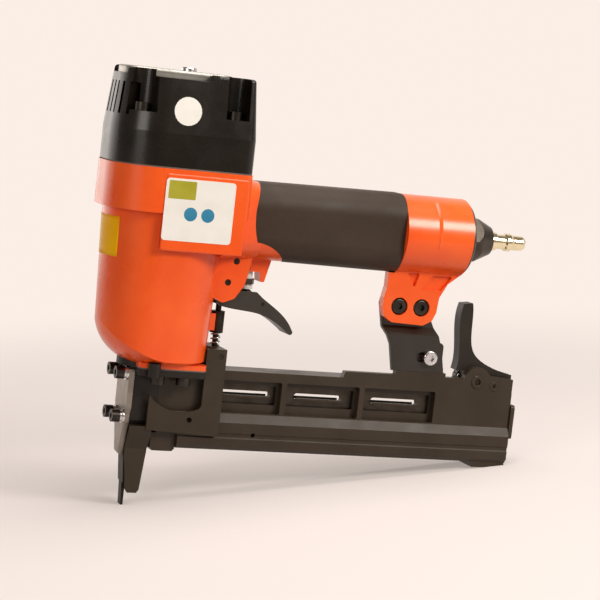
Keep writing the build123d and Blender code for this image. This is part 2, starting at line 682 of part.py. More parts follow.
# brass plug profile: thread, collar, latching groove, ring and tapered tip
with BuildPart() as air_plug:
    with BuildSketch(Plane.XZ):
        with BuildLine():
            Polyline((plug_start_x - 10, barrel_axis_z + plug_bore_radius),
                     (plug_start_x - 10, barrel_axis_z + plug_radius - 0.65),
                     (plug_start_x, barrel_axis_z + plug_radius - 0.65),
                     (plug_start_x, barrel_axis_z + plug_radius),
                     (plug_start_x + 4.5, barrel_axis_z + plug_radius),
                     (plug_start_x + 5.5, barrel_axis_z + plug_radius - 1.25),
                     (plug_start_x + 11, barrel_axis_z + plug_radius - 1.25),
                     (plug_start_x + 12, barrel_axis_z + plug_radius - 0.25),
                     (plug_start_x + 15, barrel_axis_z + plug_radius - 0.25),
                     (plug_start_x + 16.5, barrel_axis_z + plug_radius - 1.2),
                     (plug_start_x + plug_length - 1.5, barrel_axis_z + plug_radius - 1.3),
                     (plug_start_x + plug_length, barrel_axis_z + plug_radius - 2.1),
                     (plug_start_x + plug_length, barrel_axis_z + plug_bore_radius),
                     close=True)
        make_face()
    revolve(axis=Axis((0, 0, barrel_axis_z), (1, 0, 0)))
air_plug.part.label = "air_plug"
export_step(air_plug.part, "parts/air_plug.step")

# ---------------------------------------------------------------- trigger
eye_radius = 5.0
floor_z = 127.2
tip_x, tip_low_z = 92.6, 112.0
trigger_cavity_half_width = trigger_half_width - trigger_wall
arm_pin_radius = 1.25
arm_half_width = 5.0

with BuildPart() as trigger:
    # finger lever with a curved pull face, rising to the two cheeks at the pivot
    with BuildSketch(Plane.XZ):
        with BuildLine():
            Spline((45.8, floor_z), (62.3, 124.9), (74.5, 122.8), (83.5, 118.6), (tip_x, tip_low_z))
            ThreePointArc((tip_x, tip_low_z), (tip_x + 1.8, tip_low_z + 0.3), (tip_x + 1.7, tip_low_z + 2.8))
            Spline((tip_x + 1.7, tip_low_z + 2.8), (89.8, 121.2), (81.7, 127.9), (73.6, 133.2))
            Polyline((73.6, 133.2), (69.0, 136.9), (54.0, 137.0),
                     (trigger_pin_x - eye_radius, trigger_pin_z - 2), (44.2, 129.0), (45.8, floor_z))
        make_face()
        with Locations((trigger_pin_x, trigger_pin_z)):
            Circle(eye_radius)
    extrude(amount=trigger_half_width, both=True)
    # channel that holds the arm, open at the front for the safety rod
    with BuildSketch(Plane.XZ):
        side_outline((40, 129.2), (58, floor_z + 0.6), (63, floor_z), (75, 125.0), (81.5, 122.6),
                     (83.5, 124.5), (75, 140), (75, 150), (40, 150))
    extrude(amount=trigger_cavity_half_width, both=True, mode=Mode.SUBTRACT)
    with Locations((rod_x, 0, floor_z)):
        Box(10.6, 2 * trigger_cavity_half_width, 14, mode=Mode.SUBTRACT)
    with Locations(Location((trigger_pin_x, 0, trigger_pin_z), (90, 0, 0))):
        Cylinder(pin_radius + pin_gap, 30, mode=Mode.SUBTRACT)
    with Locations(Location((arm_pin_x, 0, arm_pin_z), (90, 0, 0))):
        Cylinder(arm_pin_radius + pin_gap / 2, 30, mode=Mode.SUBTRACT)
trigger.part.label = "trigger"
export_step(trigger.part, "parts/trigger.step")

with BuildPart() as trigger_pin:
    with Locations(Location((trigger_pin_x, 0, trigger_pin_z), (90, 0, 0))):
        Cylinder(pin_radius, 2 * ear_half_width - 0.6)
trigger_pin.part.label = "trigger_pin"
export_step(trigger_pin.part, "parts/trigger_pin.step")

with BuildPart() as valve_pin:
    with Locations(Location((valve_pin_x, 0, valve_pin_z), (90, 0, 0))):
        Cylinder(pin_radius, 2 * ear_half_width - 0.6)
valve_pin.part.label = "valve_pin"
export_step(valve_pin.part, "parts/valve_pin.step")

# arm that the safety rod lifts against the valve stem
with BuildPart() as trigger_arm:
    with BuildSketch(Plane.XZ):
        side_outline((44.5, 129.8), (44.5, 131.0), (58.0, 131.4), (67.0, 131.4),
                     (arm_pin_x, arm_pin_z + 2.7), (arm_pin_x, arm_pin_z - 2.7), (66.0, 129.0), (58.0, 129.4))
        with Locations((arm_pin_x, arm_pin_z)):
            Circle(2.8)
    extrude(amount=arm_half_width, both=True)
    with Locations(Location((arm_pin_x, 0, arm_pin_z), (90, 0, 0))):
        Cylinder(arm_pin_radius + pin_gap, 30, mode=Mode.SUBTRACT)
trigger_arm.part.label = "trigger_arm"
export_step(trigger_arm.part, "parts/trigger_arm.step")

with BuildPart() as arm_pin:
    with Locations(Location((arm_pin_x, 0, arm_pin_z), (90, 0, 0))):
        Cylinder(arm_pin_radius, 2 * trigger_half_width)
arm_pin.part.label = "arm_pin"
export_step(arm_pin.part, "parts/arm_pin.step")

# ---------------------------------------------------------------- trigger valve
valve_flange_z = 138.0
valve_nut_z = 141.0
valve_neck_radius = 3.3
stem_radius = 1.5
stem_lower_z = 135.2
stem_head_z = 154.2
stem_head_height = 2.0
with BuildPart() as valve_housing:
    with Locations((valve_x, 0, valve_boss_z + 0.2)):
        Cylinder(valve_bore_radius - running_gap, valve_top_z - valve_boss_z - 0.4, align=UP)
    with Locations((valve_x, 0, valve_flange_z)):
        Cylinder(valve_neck_radius, valve_boss_z + 0.2 - valve_flange_z, align=UP)
        Cylinder(4.1, 2.2, align=UP)
        Cylinder(stem_radius + pin_gap, 40, align=UP, mode=Mode.SUBTRACT)
    with Locations((valve_x, 0, stem_head_z)):
        Cylinder(2.9, 30, align=UP, mode=Mode.SUBTRACT)
valve_housing.part.label = "valve_housing"
export_step(valve_housing.part, "parts/valve_housing.step")

with BuildPart() as valve_nut:
    with BuildSketch(Plane.XY.offset(valve_nut_z)):
        with Locations((valve_x, 0)):
            RegularPolygon(4.9, 6)
            Circle(valve_neck_radius + 0.02, mode=Mode.SUBTRACT)
    extrude(amount=3.5)
valve_nut.part.label = "valve_nut"
export_step(valve_nut.part, "parts/valve_nut.step")

with BuildPart() as valve_stem:
    with Locations((valve_x, 0, stem_lower_z)):
        Cylinder(stem_radius, stem_head_z - stem_lower_z, align=UP)
    with Locations((valve_x, 0, stem_head_z)):
        Cylinder(2.8, stem_head_height, align=UP)
    fillet(valve_stem.edges().group_by(Axis.Z)[0], 0.6)
valve_stem.part.label = "valve_stem"
export_step(valve_stem.part, "parts/valve_stem.step")

valve_spring = Part() + coil_spring(2.5, 0.6, stem_head_z + stem_head_height, valve_top_z - 0.1, 5, valve_x)
valve_spring.label = "valve_spring"
export_step(valve_spring, "parts/valve_spring.step")

head_valve_spring = Part() + coil_spring(spring_groove_outer - 0.4, 1.6, head_valve_top_z - spring_groove_depth,
                                         seam_z + head_chamber_height, 3)
head_valve_spring.label = "head_valve_spring"
export_step(head_valve_spring, "parts/head_valve_spring.step")

# ---------------------------------------------------------------- nose
nose_rear_x = 12.2
nose_wide_half = 10.4
nose_foot_rear_x = 5.2
flange_bottom_z = nose_flange_top_z - nose_flange_thickness
channel_half_thickness = driver_thickness / 2 + channel_clearance
channel_half_span = driver_width / 2 + channel_clearance
tongue_back_x = -channel_half_thickness - 0.1
tongue_tip_x = -2.4
nose_low_x = -3.1
taper_start_z = 31.0
feed_slot_bottom_z = 47.3

with BuildPart() as nose_body:
    # mounting flange with a spigot into the bumper seat
    with BuildSketch(Plane.XY.offset(flange_bottom_z)):
        nose_flange()
    extrude(amount=nose_flange_thickness)
    with Locations((0, 0, nose_flange_top_z)):
        Cylinder(spigot_radius, bumper_bottom_z - nose_flange_top_z, align=UP)
    with Locations(*[(x, y, flange_bottom_z) for x, y in nose_boss_places]):
        Cylinder(nose_boss_radius, 8.2, align=UP)
    # block round the driver channel, stepped back below the magazine
    with BuildSketch(Plane.XZ):
        side_outline((nose_front_x, flange_bottom_z + 1), (nose_front_x, taper_start_z),
                     (nose_low_x, nose_block_bottom_z), (nose_foot_rear_x, nose_block_bottom_z),
                     (nose_foot_rear_x, feed_slot_bottom_z), (nose_rear_x, feed_slot_bottom_z),
                     (nose_rear_x, flange_bottom_z + 1))
    extrude(amount=nose_wide_half, both=True)
    with BuildSketch(Plane.YZ.offset(-20)):
        for side in (1, -1):
            side_outline((side * nose_wide_half, 54), (side * nose_half_width, 43), (side * nose_half_width, 0),
                         (side * 20, 0), (side * 20, 54))
    extrude(amount=40, mode=Mode.SUBTRACT)
    # locating tongue in front of the driver
    with BuildSketch(Plane.XZ):
        side_outline((tongue_back_x, tip_z), (tongue_tip_x, tip_z), (nose_low_x, nose_block_bottom_z + 0.1),
                     (tongue_back_x, nose_block_bottom_z + 0.1))
    extrude(amount=3.0, both=True)
    # driver channel and staple feed slot
    with Locations((0, 0, nose_block_bottom_z)):
        Box(2 * channel_half_thickness, 2 * channel_half_span, 90, align=UP, mode=Mode.SUBTRACT)
    with Locations((0, 0, feed_slot_bottom_z)):
        Box(40, 2 * channel_half_width, channel_top_z - feed_slot_bottom_z, mode=Mode.SUBTRACT,
            align=(Align.MIN, Align.CENTER, Align.MIN))
    with Locations(*[(x, y, flange_bottom_z - 1) for x, y in nose_screw_places]):
        Cylinder(m5_radius + 0.25, 6, align=UP, mode=Mode.SUBTRACT)
    with Locations(*[Location((nose_front_x - 1, y, z), (0, 90, 0)) for y, z in plate_screw_places]):
        Cylinder(m4_radius + 0.1, 40, align=UP, mode=Mode.SUBTRACT)
nose_body.part.label = "nose_body"
export_step(nose_body.part, "parts/nose_body.step")

with BuildPart() as nose_gasket:
    with BuildSketch(Plane.XY.offset(nose_flange_top_z)):
        nose_flange()
        Circle(spigot_radius + 0.2, mode=Mode.SUBTRACT)
        with Locations(*nose_screw_places):
            Circle(m5_radius + 0.25, mode=Mode.SUBTRACT)
        with Locations(*nose_boss_places):
            Circle(nose_boss_radius + 0.2, mode=Mode.SUBTRACT)
    extrude(amount=gasket_thickness)
nose_gasket.part.label = "nose_gasket"
export_step(nose_gasket.part, "parts/nose_gasket.step")

with BuildPart() as nose_screws:
    with Locations(*[(x, y, flange_bottom_z) for x, y in nose_screw_places]):
        Cylinder(m5_head_radius, m5_head_height, align=DOWN)
        Cylinder(m5_radius, 12, align=UP)
    with BuildSketch(Plane.XY.offset(flange_bottom_z - m5_head_height)):
        with Locations(*nose_screw_places):
            RegularPolygon(large_drive_radius, 6)
    extrude(amount=m5_head_height * drive_depth_share, mode=Mode.SUBTRACT)
nose_screws.part.label = "nose_screws"
export_step(nose_screws.part, "parts/nose_screws.step")

with BuildPart() as front_plate:
    with BuildSketch(Plane.YZ.offset(front_plate_face_x)):
        side_outline((-front_plate_half_width, flange_bottom_z + 2),
                     (front_plate_half_width, flange_bottom_z + 2),
                     (front_plate_half_width, 62), (10.2, 57.5), (9.8, 52.5), (3, taper_start_z),
                     (-3, taper_start_z), (-9.8, 52.5), (-10.2, 57.5), (-front_plate_half_width, 62))
    extrude(amount=front_plate_thickness)
    chamfer(front_plate.edges().filter_by(Axis.Y).group_by(Axis.Z)[0].sort_by(Axis.X)[0], 2.0)
    with Locations(*[Location((front_plate_face_x - 1, y, z), (0, 90, 0)) for y, z in plate_screw_places]):
        Cylinder(m4_radius + 0.1, 10, align=UP, mode=Mode.SUBTRACT)
front_plate.part.label = "front_plate"
export_step(front_plate.part, "parts/front_plate.step")

washer_radius, washer_thickness = 4.4, 1.2
ring_radius, ring_thickness = 3.6, 1.4
plate_head_radius, plate_head_height = 3.85, 5.0
washer_face_x = front_plate_face_x - washer_thickness - ring_thickness
plate_screw_lengths = {plate_screw_low_z: 38.0, plate_screw_high_z: 21.0}

with BuildPart() as front_plate_washers:
    for y, z in plate_screw_places:
        with Locations(Location((front_plate_face_x, y, z), (0, -90, 0))):
            Cylinder(washer_radius, washer_thickness, align=UP)
        with Locations(Location((front_plate_face_x - washer_thickness, y, z), (0, -90, 0))):
            Cylinder(ring_radius, ring_thickness, align=UP)
        with Locations(Location((front_plate_face_x, y, z), (0, -90, 0))):
            Cylinder(m4_radius + running_gap, 10, align=UP, mode=Mode.SUBTRACT)
front_plate_washers.part.label = "front_plate_washers"
export_step(front_plate_washers.part, "parts/front_plate_washers.step")

with BuildPart() as front_plate_screws:
    for y, z in plate_screw_places:
        with Locations(Location((washer_face_x, y, z), (0, -90, 0))):
            Cylinder(plate_head_radius, plate_head_height, align=UP)
        with Locations(Location((washer_face_x, y, z), (0, 90, 0))):
            Cylinder(m4_radius, plate_screw_lengths[z], align=UP)
        with BuildSketch(Plane.YZ.offset(washer_face_x - plate_head_height)):
            with Locations((y, z)):
                RegularPolygon(small_drive_radius, 6)
        extrude(amount=plate_head_height * drive_depth_share, mode=Mode.SUBTRACT)
front_plate_screws.part.label = "front_plate_screws"
export_step(front_plate_screws.part, "parts/front_plate_screws.step")

# ---------------------------------------------------------------- safety contact
cheek_inner_y = nose_wide_half + 0.1
foot_inner_y = nose_half_width + 0.1
side_plate_inner_y = magazine_half_width + 0.2
side_plate_outer_y = side_plate_inner_y + yoke_plate
arm_front_x, arm_rear_x = 38.7, 51.5
bridge_bottom_z = 89.5
bridge_front_x = 43.4
set_screw_z = 96.6
cheek_top_z = 51.3
cheek_outer_y = 6.8
foot_wall_x, foot_wall_thickness, foot_wall_height = 5.4, 1.8, 24.0
rivet_x, rivet_z = 31.8, 56.6
set_screw_x, set_screw_radius = 47.8, 1.7

# foot cheeks beside the nose block, flaring out to the side plates
with BuildPart() as foot_cheeks:
    with BuildSketch(Plane.XZ):
        side_outline((-4.3, cheek_top_z), (-4.5, 44), (-4.3, 32), (-1.5, foot_z + 2), (0, foot_z),
                     (5.6, foot_z), (7.1, foot_z + 2), (9.3, 34), (9.6, 45), (8.5, cheek_top_z))
    extrude(amount=side_plate_outer_y, both=True)
    with BuildSketch(Plane.YZ.offset(-10)):
        for side in (1, -1):
            side_outline((side * side_plate_outer_y, cheek_top_z), (side * 13.2, 47), (side * cheek_outer_y, 36),
                         (side * cheek_outer_y, foot_z), (side * foot_inner_y, foot_z), (side * foot_inner_y, 37),
                         (side * cheek_inner_y, 47.6), (side * cheek_inner_y, cheek_top_z))
    extrude(amount=30, mode=Mode.INTERSECT)

with BuildPart() as safety_yoke:
    # side plates with a dished upper edge, and the arms that rise behind the nose
    with BuildSketch(Plane.XZ):
        with BuildLine():
            ThreePointArc((5.0, 70.7), (19.5, 61.9), (arm_front_x - 1.5, 63.5))
            Polyline((arm_front_x - 1.5, 63.5), (arm_front_x, 65.5), (arm_front_x, yoke_bridge_top_z),
                     (arm_rear_x, yoke_bridge_top_z), (arm_rear_x, 49.0), (49.5, 47.1), (7.8, 49.2),
                     (5.0, 49.4), (5.0, 70.7))
        make_face()
    extrude(amount=side_plate_outer_y, both=True)
    # space between the plates, below the bridge and ahead of it
    with BuildSketch(Plane.XZ):
        side_outline((0, 40), (60, 40), (60, bridge_bottom_z), (bridge_front_x, bridge_bottom_z),
                     (bridge_front_x, yoke_bridge_top_z + 1), (0, yoke_bridge_top_z + 1))
    extrude(amount=side_plate_inner_y, both=True, mode=Mode.SUBTRACT)
    add(foot_cheeks.part)
    # wall that closes the foot behind the nose block
    with Locations((foot_wall_x, 0, foot_z + 2)):
        Box(foot_wall_thickness, 2 * foot_inner_y + 0.4, foot_wall_height,
            align=(Align.MIN, Align.CENTER, Align.MIN))
    # rivet dimples, rod hole and set screw holes
    with Locations(Location((rivet_x, 0, rivet_z), (90, 0, 0)),
                   Location((set_screw_x, 0, set_screw_z), (90, 0, 0))):
        Cylinder(set_screw_radius + running_gap, 60, mode=Mode.SUBTRACT)
    with Locations((rod_x, 0, bridge_bottom_z - 1)):
        Cylinder(rod_radius + 0.05, 30, align=UP, mode=Mode.SUBTRACT)
safety_yoke.part.label = "safety_yoke"
export_step(safety_yoke.part, "parts/safety_yoke.step")

with BuildPart() as rod_set_screws:
    with Locations(*[Location((set_screw_x, side * (rod_radius + 0.1), set_screw_z), (-90 * side, 0, 0))
                     for side in (1, -1)]):
        Cylinder(set_screw_radius, side_plate_outer_y - rod_radius - 0.7, align=UP)
rod_set_screws.part.label = "rod_set_screws"
export_step(rod_set_screws.part, "parts/rod_set_screws.step")

rod_top_z = 129.0
with BuildPart() as safety_rod:
    with Locations((rod_x, 0, bridge_bottom_z + 0.5)):
        Cylinder(rod_radius, rod_top_z - bridge_bottom_z - 0.5, align=UP)
    fillet(safety_rod.edges().group_by(Axis.Z)[-1], 0.7)
safety_rod.part.label = "safety_rod"
export_step(safety_rod.part, "parts/safety_rod.step")

tube_cap_z = guide_tube_top_z - 1.5
with BuildPart() as safety_guide_tube:
    with Locations((rod_x, 0, guide_tube_bottom_z)):
        Cylinder(guide_tube_radius, guide_tube_top_z - guide_tube_bottom_z, align=UP)
        Cylinder(guide_tube_radius - 0.6, tube_cap_z - guide_tube_bottom_z, align=UP, mode=Mode.SUBTRACT)
        Cylinder(rod_radius + 0.08, 30, align=UP, mode=Mode.SUBTRACT)
safety_guide_tube.part.label = "safety_guide_tube"
export_step(safety_guide_tube.part, "parts/safety_guide_tube.step")

safety_spring = Part() + coil_spring(spring_radius, spring_wire, yoke_bridge_top_z, tube_cap_z, 7, rod_x)
safety_spring.label = "safety_spring"
export_step(safety_spring, "parts/safety_spring.step")

# ---------------------------------------------------------------- magazine
magazine_nose_top_z = flange_bottom_z - 0.3
magazine_step_x = flange_rear_x + 0.5
block_front_x, block_rear_x = 10.3, 26.0
block_bottom_z, block_top_z = 35.8, 47.0
block_half_width = 9.5
latch_slot_front_x = 203.0
ear_radius = 9.6
rib_edges = [(x - rib_width / 2, x + rib_width / 2) for x in (first_rib_x, first_rib_x + rib_pitch)]
recesses = [(45.0, rib_edges[0][0]), (rib_edges[0][1], rib_edges[1][0]), (rib_edges[1][1], solid_start_x)]
slot_centres = [70.8, 119.0, 171.0]
opening_height, opening_margin = 12.0, 2.0
boss_front_x, boss_rear_x = 178.0, 199.0
boss_top_z = 110.0
lower_boss_y = -1.0
pad_start_x, pad_end_x = 167.0, 201.5
pad_top_z = 94.0
dimple_x, dimple_z = 235.6, 87.4
side_hole_x, side_hole_z, side_hole_radius = 74.9, 48.6, 1.4
latch_pin_radius = 2.0
latch_spring_x = 213.0

with BuildPart() as magazine_body:
    # lower rail housing with two shallow beads and a sloping ledge
    with BuildSketch(Plane.YZ.offset(magazine_front_x)):
        for side in (1, -1):
            side_outline((0, magazine_bottom_z), (side * bottom_half_width, magazine_bottom_z),
                         (side * magazine_half_width, 40.8), (side * magazine_half_width, 45.8),
                         (side * bead_half_width, 46.6), (side * bead_half_width, 48.4),
                         (side * magazine_half_width, 49.2), (side * magazine_half_width, ledge_bottom_z),
                         (side * upper_half_width, ledge_top_z), (0, ledge_top_z))
    extrude(amount=magazine_rear_x - magazine_front_x)
    # upper wall, low under the nose flange, with the near flank raised behind the second rib
    with BuildSketch(Plane.XZ):
        side_outline((magazine_front_x, ledge_top_z - 1), (magazine_front_x, magazine_nose_top_z),
                     (magazine_step_x, magazine_nose_top_z), (magazine_step_x, magazine_top_z),
                     (magazine_rear_x, magazine_top_z), (magazine_rear_x, ledge_top_z - 1))
    extrude(amount=upper_half_width, both=True)
    with BuildSketch(Plane.XZ.offset(latch_slot_half_width)):
        side_outline((raised_start_x, magazine_top_z - 2), (raised_start_x, magazine_top_z),
                     (raised_start_x + 1.5, raised_top_z), (pad_start_x, raised_top_z), (pad_start_x, pad_top_z),
                     (pad_end_x, pad_top_z), (pad_end_x, raised_top_z), (magazine_rear_x, raised_top_z),
                     (magazine_rear_x, magazine_top_z - 2))
    extrude(amount=upper_half_width - latch_slot_half_width)
    # screw boss behind the bracket, and the two ears that hold the latch pin
    with BuildSketch(Plane.XZ.offset(-bracket_lower_y)):
        with Locations(((boss_front_x + boss_rear_x) / 2, (magazine_top_z + boss_top_z) / 2)):
            RectangleRounded(boss_rear_x - boss_front_x, boss_top_z - magazine_top_z + 6, 3)
    extrude(amount=bracket_lower_y - lower_boss_y)
    with BuildSketch(Plane.XZ):
        with Locations((latch_pivot_x, latch_pivot_z)):
            Circle(ear_radius)
        side_outline((latch_pivot_x - ear_radius, magazine_top_z - 3), (latch_pivot_x - ear_radius, latch_pivot_z),
                     (latch_pivot_x + 8.5, 94.0), (magazine_rear_x, 92.5), (magazine_rear_x, magazine_top_z - 3))
    extrude(amount=upper_half_width, both=True)
    # rear foot
    with BuildSketch(Plane.XZ):
        side_outline((rear_foot_x - 3, magazine_bottom_z + 1), (rear_foot_x, rear_foot_z),
                     (magazine_rear_x - 0.5, rear_foot_z), (magazine_rear_x, magazine_bottom_z + 1))
    extrude(amount=bottom_half_width, both=True)
    # windows between the ribs, with a slot through the channel walls in each
    for start_x, end_x in recesses:
        for side in (1, -1):
            with BuildSketch(Plane.XZ.offset(side * window_floor_y)):
                with Locations(((start_x + end_x) / 2, (window_bottom_z + window_top_z) / 2)):
                    RectangleRounded(end_x - start_x, window_top_z - window_bottom_z, 1.2)
            extrude(amount=side * 10, mode=Mode.SUBTRACT)
    # openings in the channel walls that show the rail
    with BuildSketch(Plane.XZ):
        for start_x, end_x in recesses:
            with Locations(((start_x + end_x) / 2, slot_z)):
                RectangleRounded(end_x - start_x - 2 * opening_margin, opening_height, 1)
    extrude(amount=window_floor_y + 1, both=True, mode=Mode.SUBTRACT)
    # staple channel, and the recess for the spring block under the front
    with Locations((magazine_front_x - 1, 0, channel_bottom_z)):
        Box(magazine_rear_x - magazine_front_x + 2, 2 * channel_half_width, channel_top_z - channel_bottom_z,
            align=(Align.MIN, Align.CENTER, Align.MIN), mode=Mode.SUBTRACT)
    with Locations((magazine_front_x - 1, 0, 0)):
        Box(block_rear_x - magazine_front_x + 1.2, 40, block_top_z + 0.2,
            align=(Align.MIN, Align.CENTER, Align.MIN), mode=Mode.SUBTRACT)
    # slot that the latch lever swings in, open to the rear
    with Locations((latch_slot_front_x, 0, latch_floor_z)):
        Box(60, 2 * latch_slot_half_width, 40, align=(Align.MIN, Align.CENTER, Align.MIN), mode=Mode.SUBTRACT)
    with Locations(*[Location((dimple_x, side * upper_half_width, dimple_z), (90, 0, 0)) for side in (1, -1)]):
        Cylinder(1.5, 1.6, mode=Mode.SUBTRACT)
    with Locations(Location((latch_pivot_x, 0, latch_pivot_z), (90, 0, 0))):
        Cylinder(latch_pin_radius, 30, mode=Mode.SUBTRACT)
    # bracket screw hole, front screw holes and side hole
    with Locations(Location((bracket_screw_x, bracket_lower_y - 1, bracket_screw_z), (-90, 0, 0))):
        Cylinder(m5_radius + 0.05, 12, align=UP, mode=Mode.SUBTRACT)
    with Locations(*[Location((magazine_front_x - 1, y, plate_screw_low_z), (0, 90, 0))
                     for y in (-plate_screw_y, plate_screw_y)]):
        Cylinder(m4_radius + 0.05, 18, align=UP, mode=Mode.SUBTRACT)
    with Locations(Location((side_hole_x, 0, side_hole_z), (90, 0, 0))):
        Cylinder(side_hole_radius, 40, mode=Mode.SUBTRACT)
magazine_body.part.label = "magazine_body"
export_step(magazine_body.part, "parts/magazine_body.step")

# block under the front end that holds the coil of the feed spring
coil_x, coil_z = 17.0, 43.4
coil_radius = 3.4
with BuildPart() as magazine_front_block:
    with BuildSketch(Plane.XZ):
        side_outline((block_front_x, block_bottom_z + 1.5), (block_front_x + 1.5, block_bottom_z),
                     (block_rear_x - 1.5, block_bottom_z), (block_rear_x, block_bottom_z + 1.5),
                     (block_rear_x, block_top_z), (block_front_x, block_top_z))
    extrude(amount=block_half_width, both=True)
    with Locations((coil_x, 0, coil_z - coil_radius - 0.4)):
        Box(2 * coil_radius + 1, 5.4, 20, align=UP, mode=Mode.SUBTRACT)
    with Locations(Location((coil_x, 0, coil_z), (90, 0, 0))):
        Cylinder(1.2, 5.6)
magazine_front_block.part.label = "magazine_front_block"
export_step(magazine_front_block.part, "parts/magazine_front_block.step")

pusher_front_x, pusher_rear_x = 13.5, 33.5
pusher_bottom_z = 47.2
with BuildPart() as feed_spring:
    with BuildSketch(Plane.XZ):
        with Locations((coil_x, coil_z)):
            Circle(coil_radius)
            Circle(1.3, mode=Mode.SUBTRACT)
        with Locations((coil_x + 1.8, coil_z + coil_radius - 0.2)):
            Rectangle(3.6, 0.4)
    extrude(amount=2.4, both=True)
feed_spring.part.label = "feed_spring"
export_step(feed_spring.part, "parts/feed_spring.step")

rail_top_z = 79.5
rail_bottom_z = feed_slot_bottom_z + 0.2
with BuildPart() as pusher:
    with BuildSketch(Plane.XZ):
        side_outline((pusher_front_x, pusher_bottom_z), (pusher_front_x, channel_top_z - 0.2),
                     (pusher_rear_x - 4, channel_top_z - 0.2), (pusher_rear_x, channel_top_z - 5),
                     (pusher_rear_x, pusher_bottom_z))
    extrude(amount=channel_half_width - 0.15, both=True)
    Box(80, 2 * rail_half_width + 0.2, rail_top_z + 0.15, align=UP, mode=Mode.SUBTRACT)
pusher.part.label = "pusher"
export_step(pusher.part, "parts/pusher.step")

# rail that the staples straddle, drawn out to the rear with its end plate
rail_front_x = 1.5
plate_front_x = magazine_rear_x + 0.4
end_plate_rear_x = 252.5
end_plate_bottom_z, end_plate_top_z = 54.0, 76.0
end_screw_heights = (59.5, 69.0)
end_screw_radius = 1.2
end_head_radius, end_head_height = 2.6, 1.8
with BuildPart() as staple_rail:
    with BuildSketch(Plane.XZ):
        side_outline((rail_front_x, rail_bottom_z), (rail_front_x, rail_top_z - 2), (rail_front_x + 2, rail_top_z),
                     (plate_front_x, rail_top_z), (plate_front_x, rail_bottom_z))
    extrude(amount=rail_half_width, both=True)
    with BuildSketch(Plane.XZ):
        with Locations(*[(x, slot_z) for x in slot_centres]):
            SlotOverall(slot_length, slot_height)
    extrude(amount=rail_half_width, both=True, mode=Mode.SUBTRACT)
    with Locations(*[Location((plate_front_x + 1, 0, z), (0, -90, 0)) for z in end_screw_heights]):
        Cylinder(end_screw_radius + 0.05, 12, align=UP, mode=Mode.SUBTRACT)
staple_rail.part.label = "staple_rail"
export_step(staple_rail.part, "parts/staple_rail.step")

with BuildPart() as rail_end_plate:
    with BuildSketch(Plane.YZ.offset(plate_front_x)):
        with Locations((0, (end_plate_bottom_z + end_plate_top_z) / 2)):
            RectangleRounded(22, end_plate_top_z - end_plate_bottom_z, 2)
        with Locations((0, end_plate_top_z)):
            RectangleRounded(8, 2 * (latch_floor_z - end_plate_top_z), 1)
    extrude(amount=end_plate_rear_x - plate_front_x)
    with Locations(*[Location((plate_front_x - 1, 0, z), (0, 90, 0)) for z in end_screw_heights]):
        Cylinder(end_screw_radius + 0.1, 10, align=UP, mode=Mode.SUBTRACT)
rail_end_plate.part.label = "rail_end_plate"
export_step(rail_end_plate.part, "parts/rail_end_plate.step")

with BuildPart() as end_plate_screws:
    with Locations(*[Location((end_plate_rear_x, 0, z), (0, 90, 0)) for z in end_screw_heights]):
        Cylinder(end_head_radius, end_head_height, align=UP)
        Cylinder(end_screw_radius, 13, align=DOWN)
    fillet(end_plate_screws.edges().group_by(Axis.X)[-1], 0.8)
    with BuildSketch(Plane.YZ.offset(end_plate_rear_x + end_head_height)):
        with Locations(*[(0, z) for z in end_screw_heights]):
            RegularPolygon(1.1, 6)
    extrude(amount=-1.2, mode=Mode.SUBTRACT)
end_plate_screws.part.label = "end_plate_screws"
export_step(end_plate_screws.part, "parts/end_plate_screws.step")

# ---------------------------------------------------------------- latch
latch_boss_radius = 6.3
lever_bottom_z = latch_floor_z + 0.4
with BuildPart() as latch_lever:
    with BuildSketch(Plane.XZ):
        with BuildLine():
            Polyline((211.0, 138.9), (217.2, 139.6))
            Spline((217.2, 139.6), (218.7, 119.0), (221.4, 108.4), (231.3, 100.6), (250.4, 94.8))
            Polyline((250.4, 94.8), (250.4, lever_bottom_z), (latch_pivot_x, lever_bottom_z), (217.4, 90.0),
                     (217.0, 96.0), (210.6, 96.0))
            Spline((210.6, 96.0), (211.6, 104.0), (210.4, 118.0), (211.0, 138.9))
        make_face()
        with Locations((latch_pivot_x, latch_pivot_z)):
            Circle(latch_boss_radius)
    extrude(amount=latch_half_width, both=True)
    with Locations(Location((latch_pivot_x, 0, latch_pivot_z), (90, 0, 0))):
        Cylinder(latch_pin_radius, 30, mode=Mode.SUBTRACT)
latch_lever.part.label = "latch_lever"
export_step(latch_lever.part, "parts/latch_lever.step")

with BuildPart() as latch_pin:
    with Locations(Location((latch_pivot_x, 0, latch_pivot_z), (90, 0, 0))):
        Cylinder(latch_pin_radius - pin_gap, 2 * upper_half_width - 0.8)
latch_pin.part.label = "latch_pin"
export_step(latch_pin.part, "parts/latch_pin.step")

latch_spring = Part() + coil_spring(2.5, 0.7, latch_floor_z, 95.7, 5, latch_spring_x)
latch_spring.label = "latch_spring"
export_step(latch_spring, "parts/latch_spring.step")

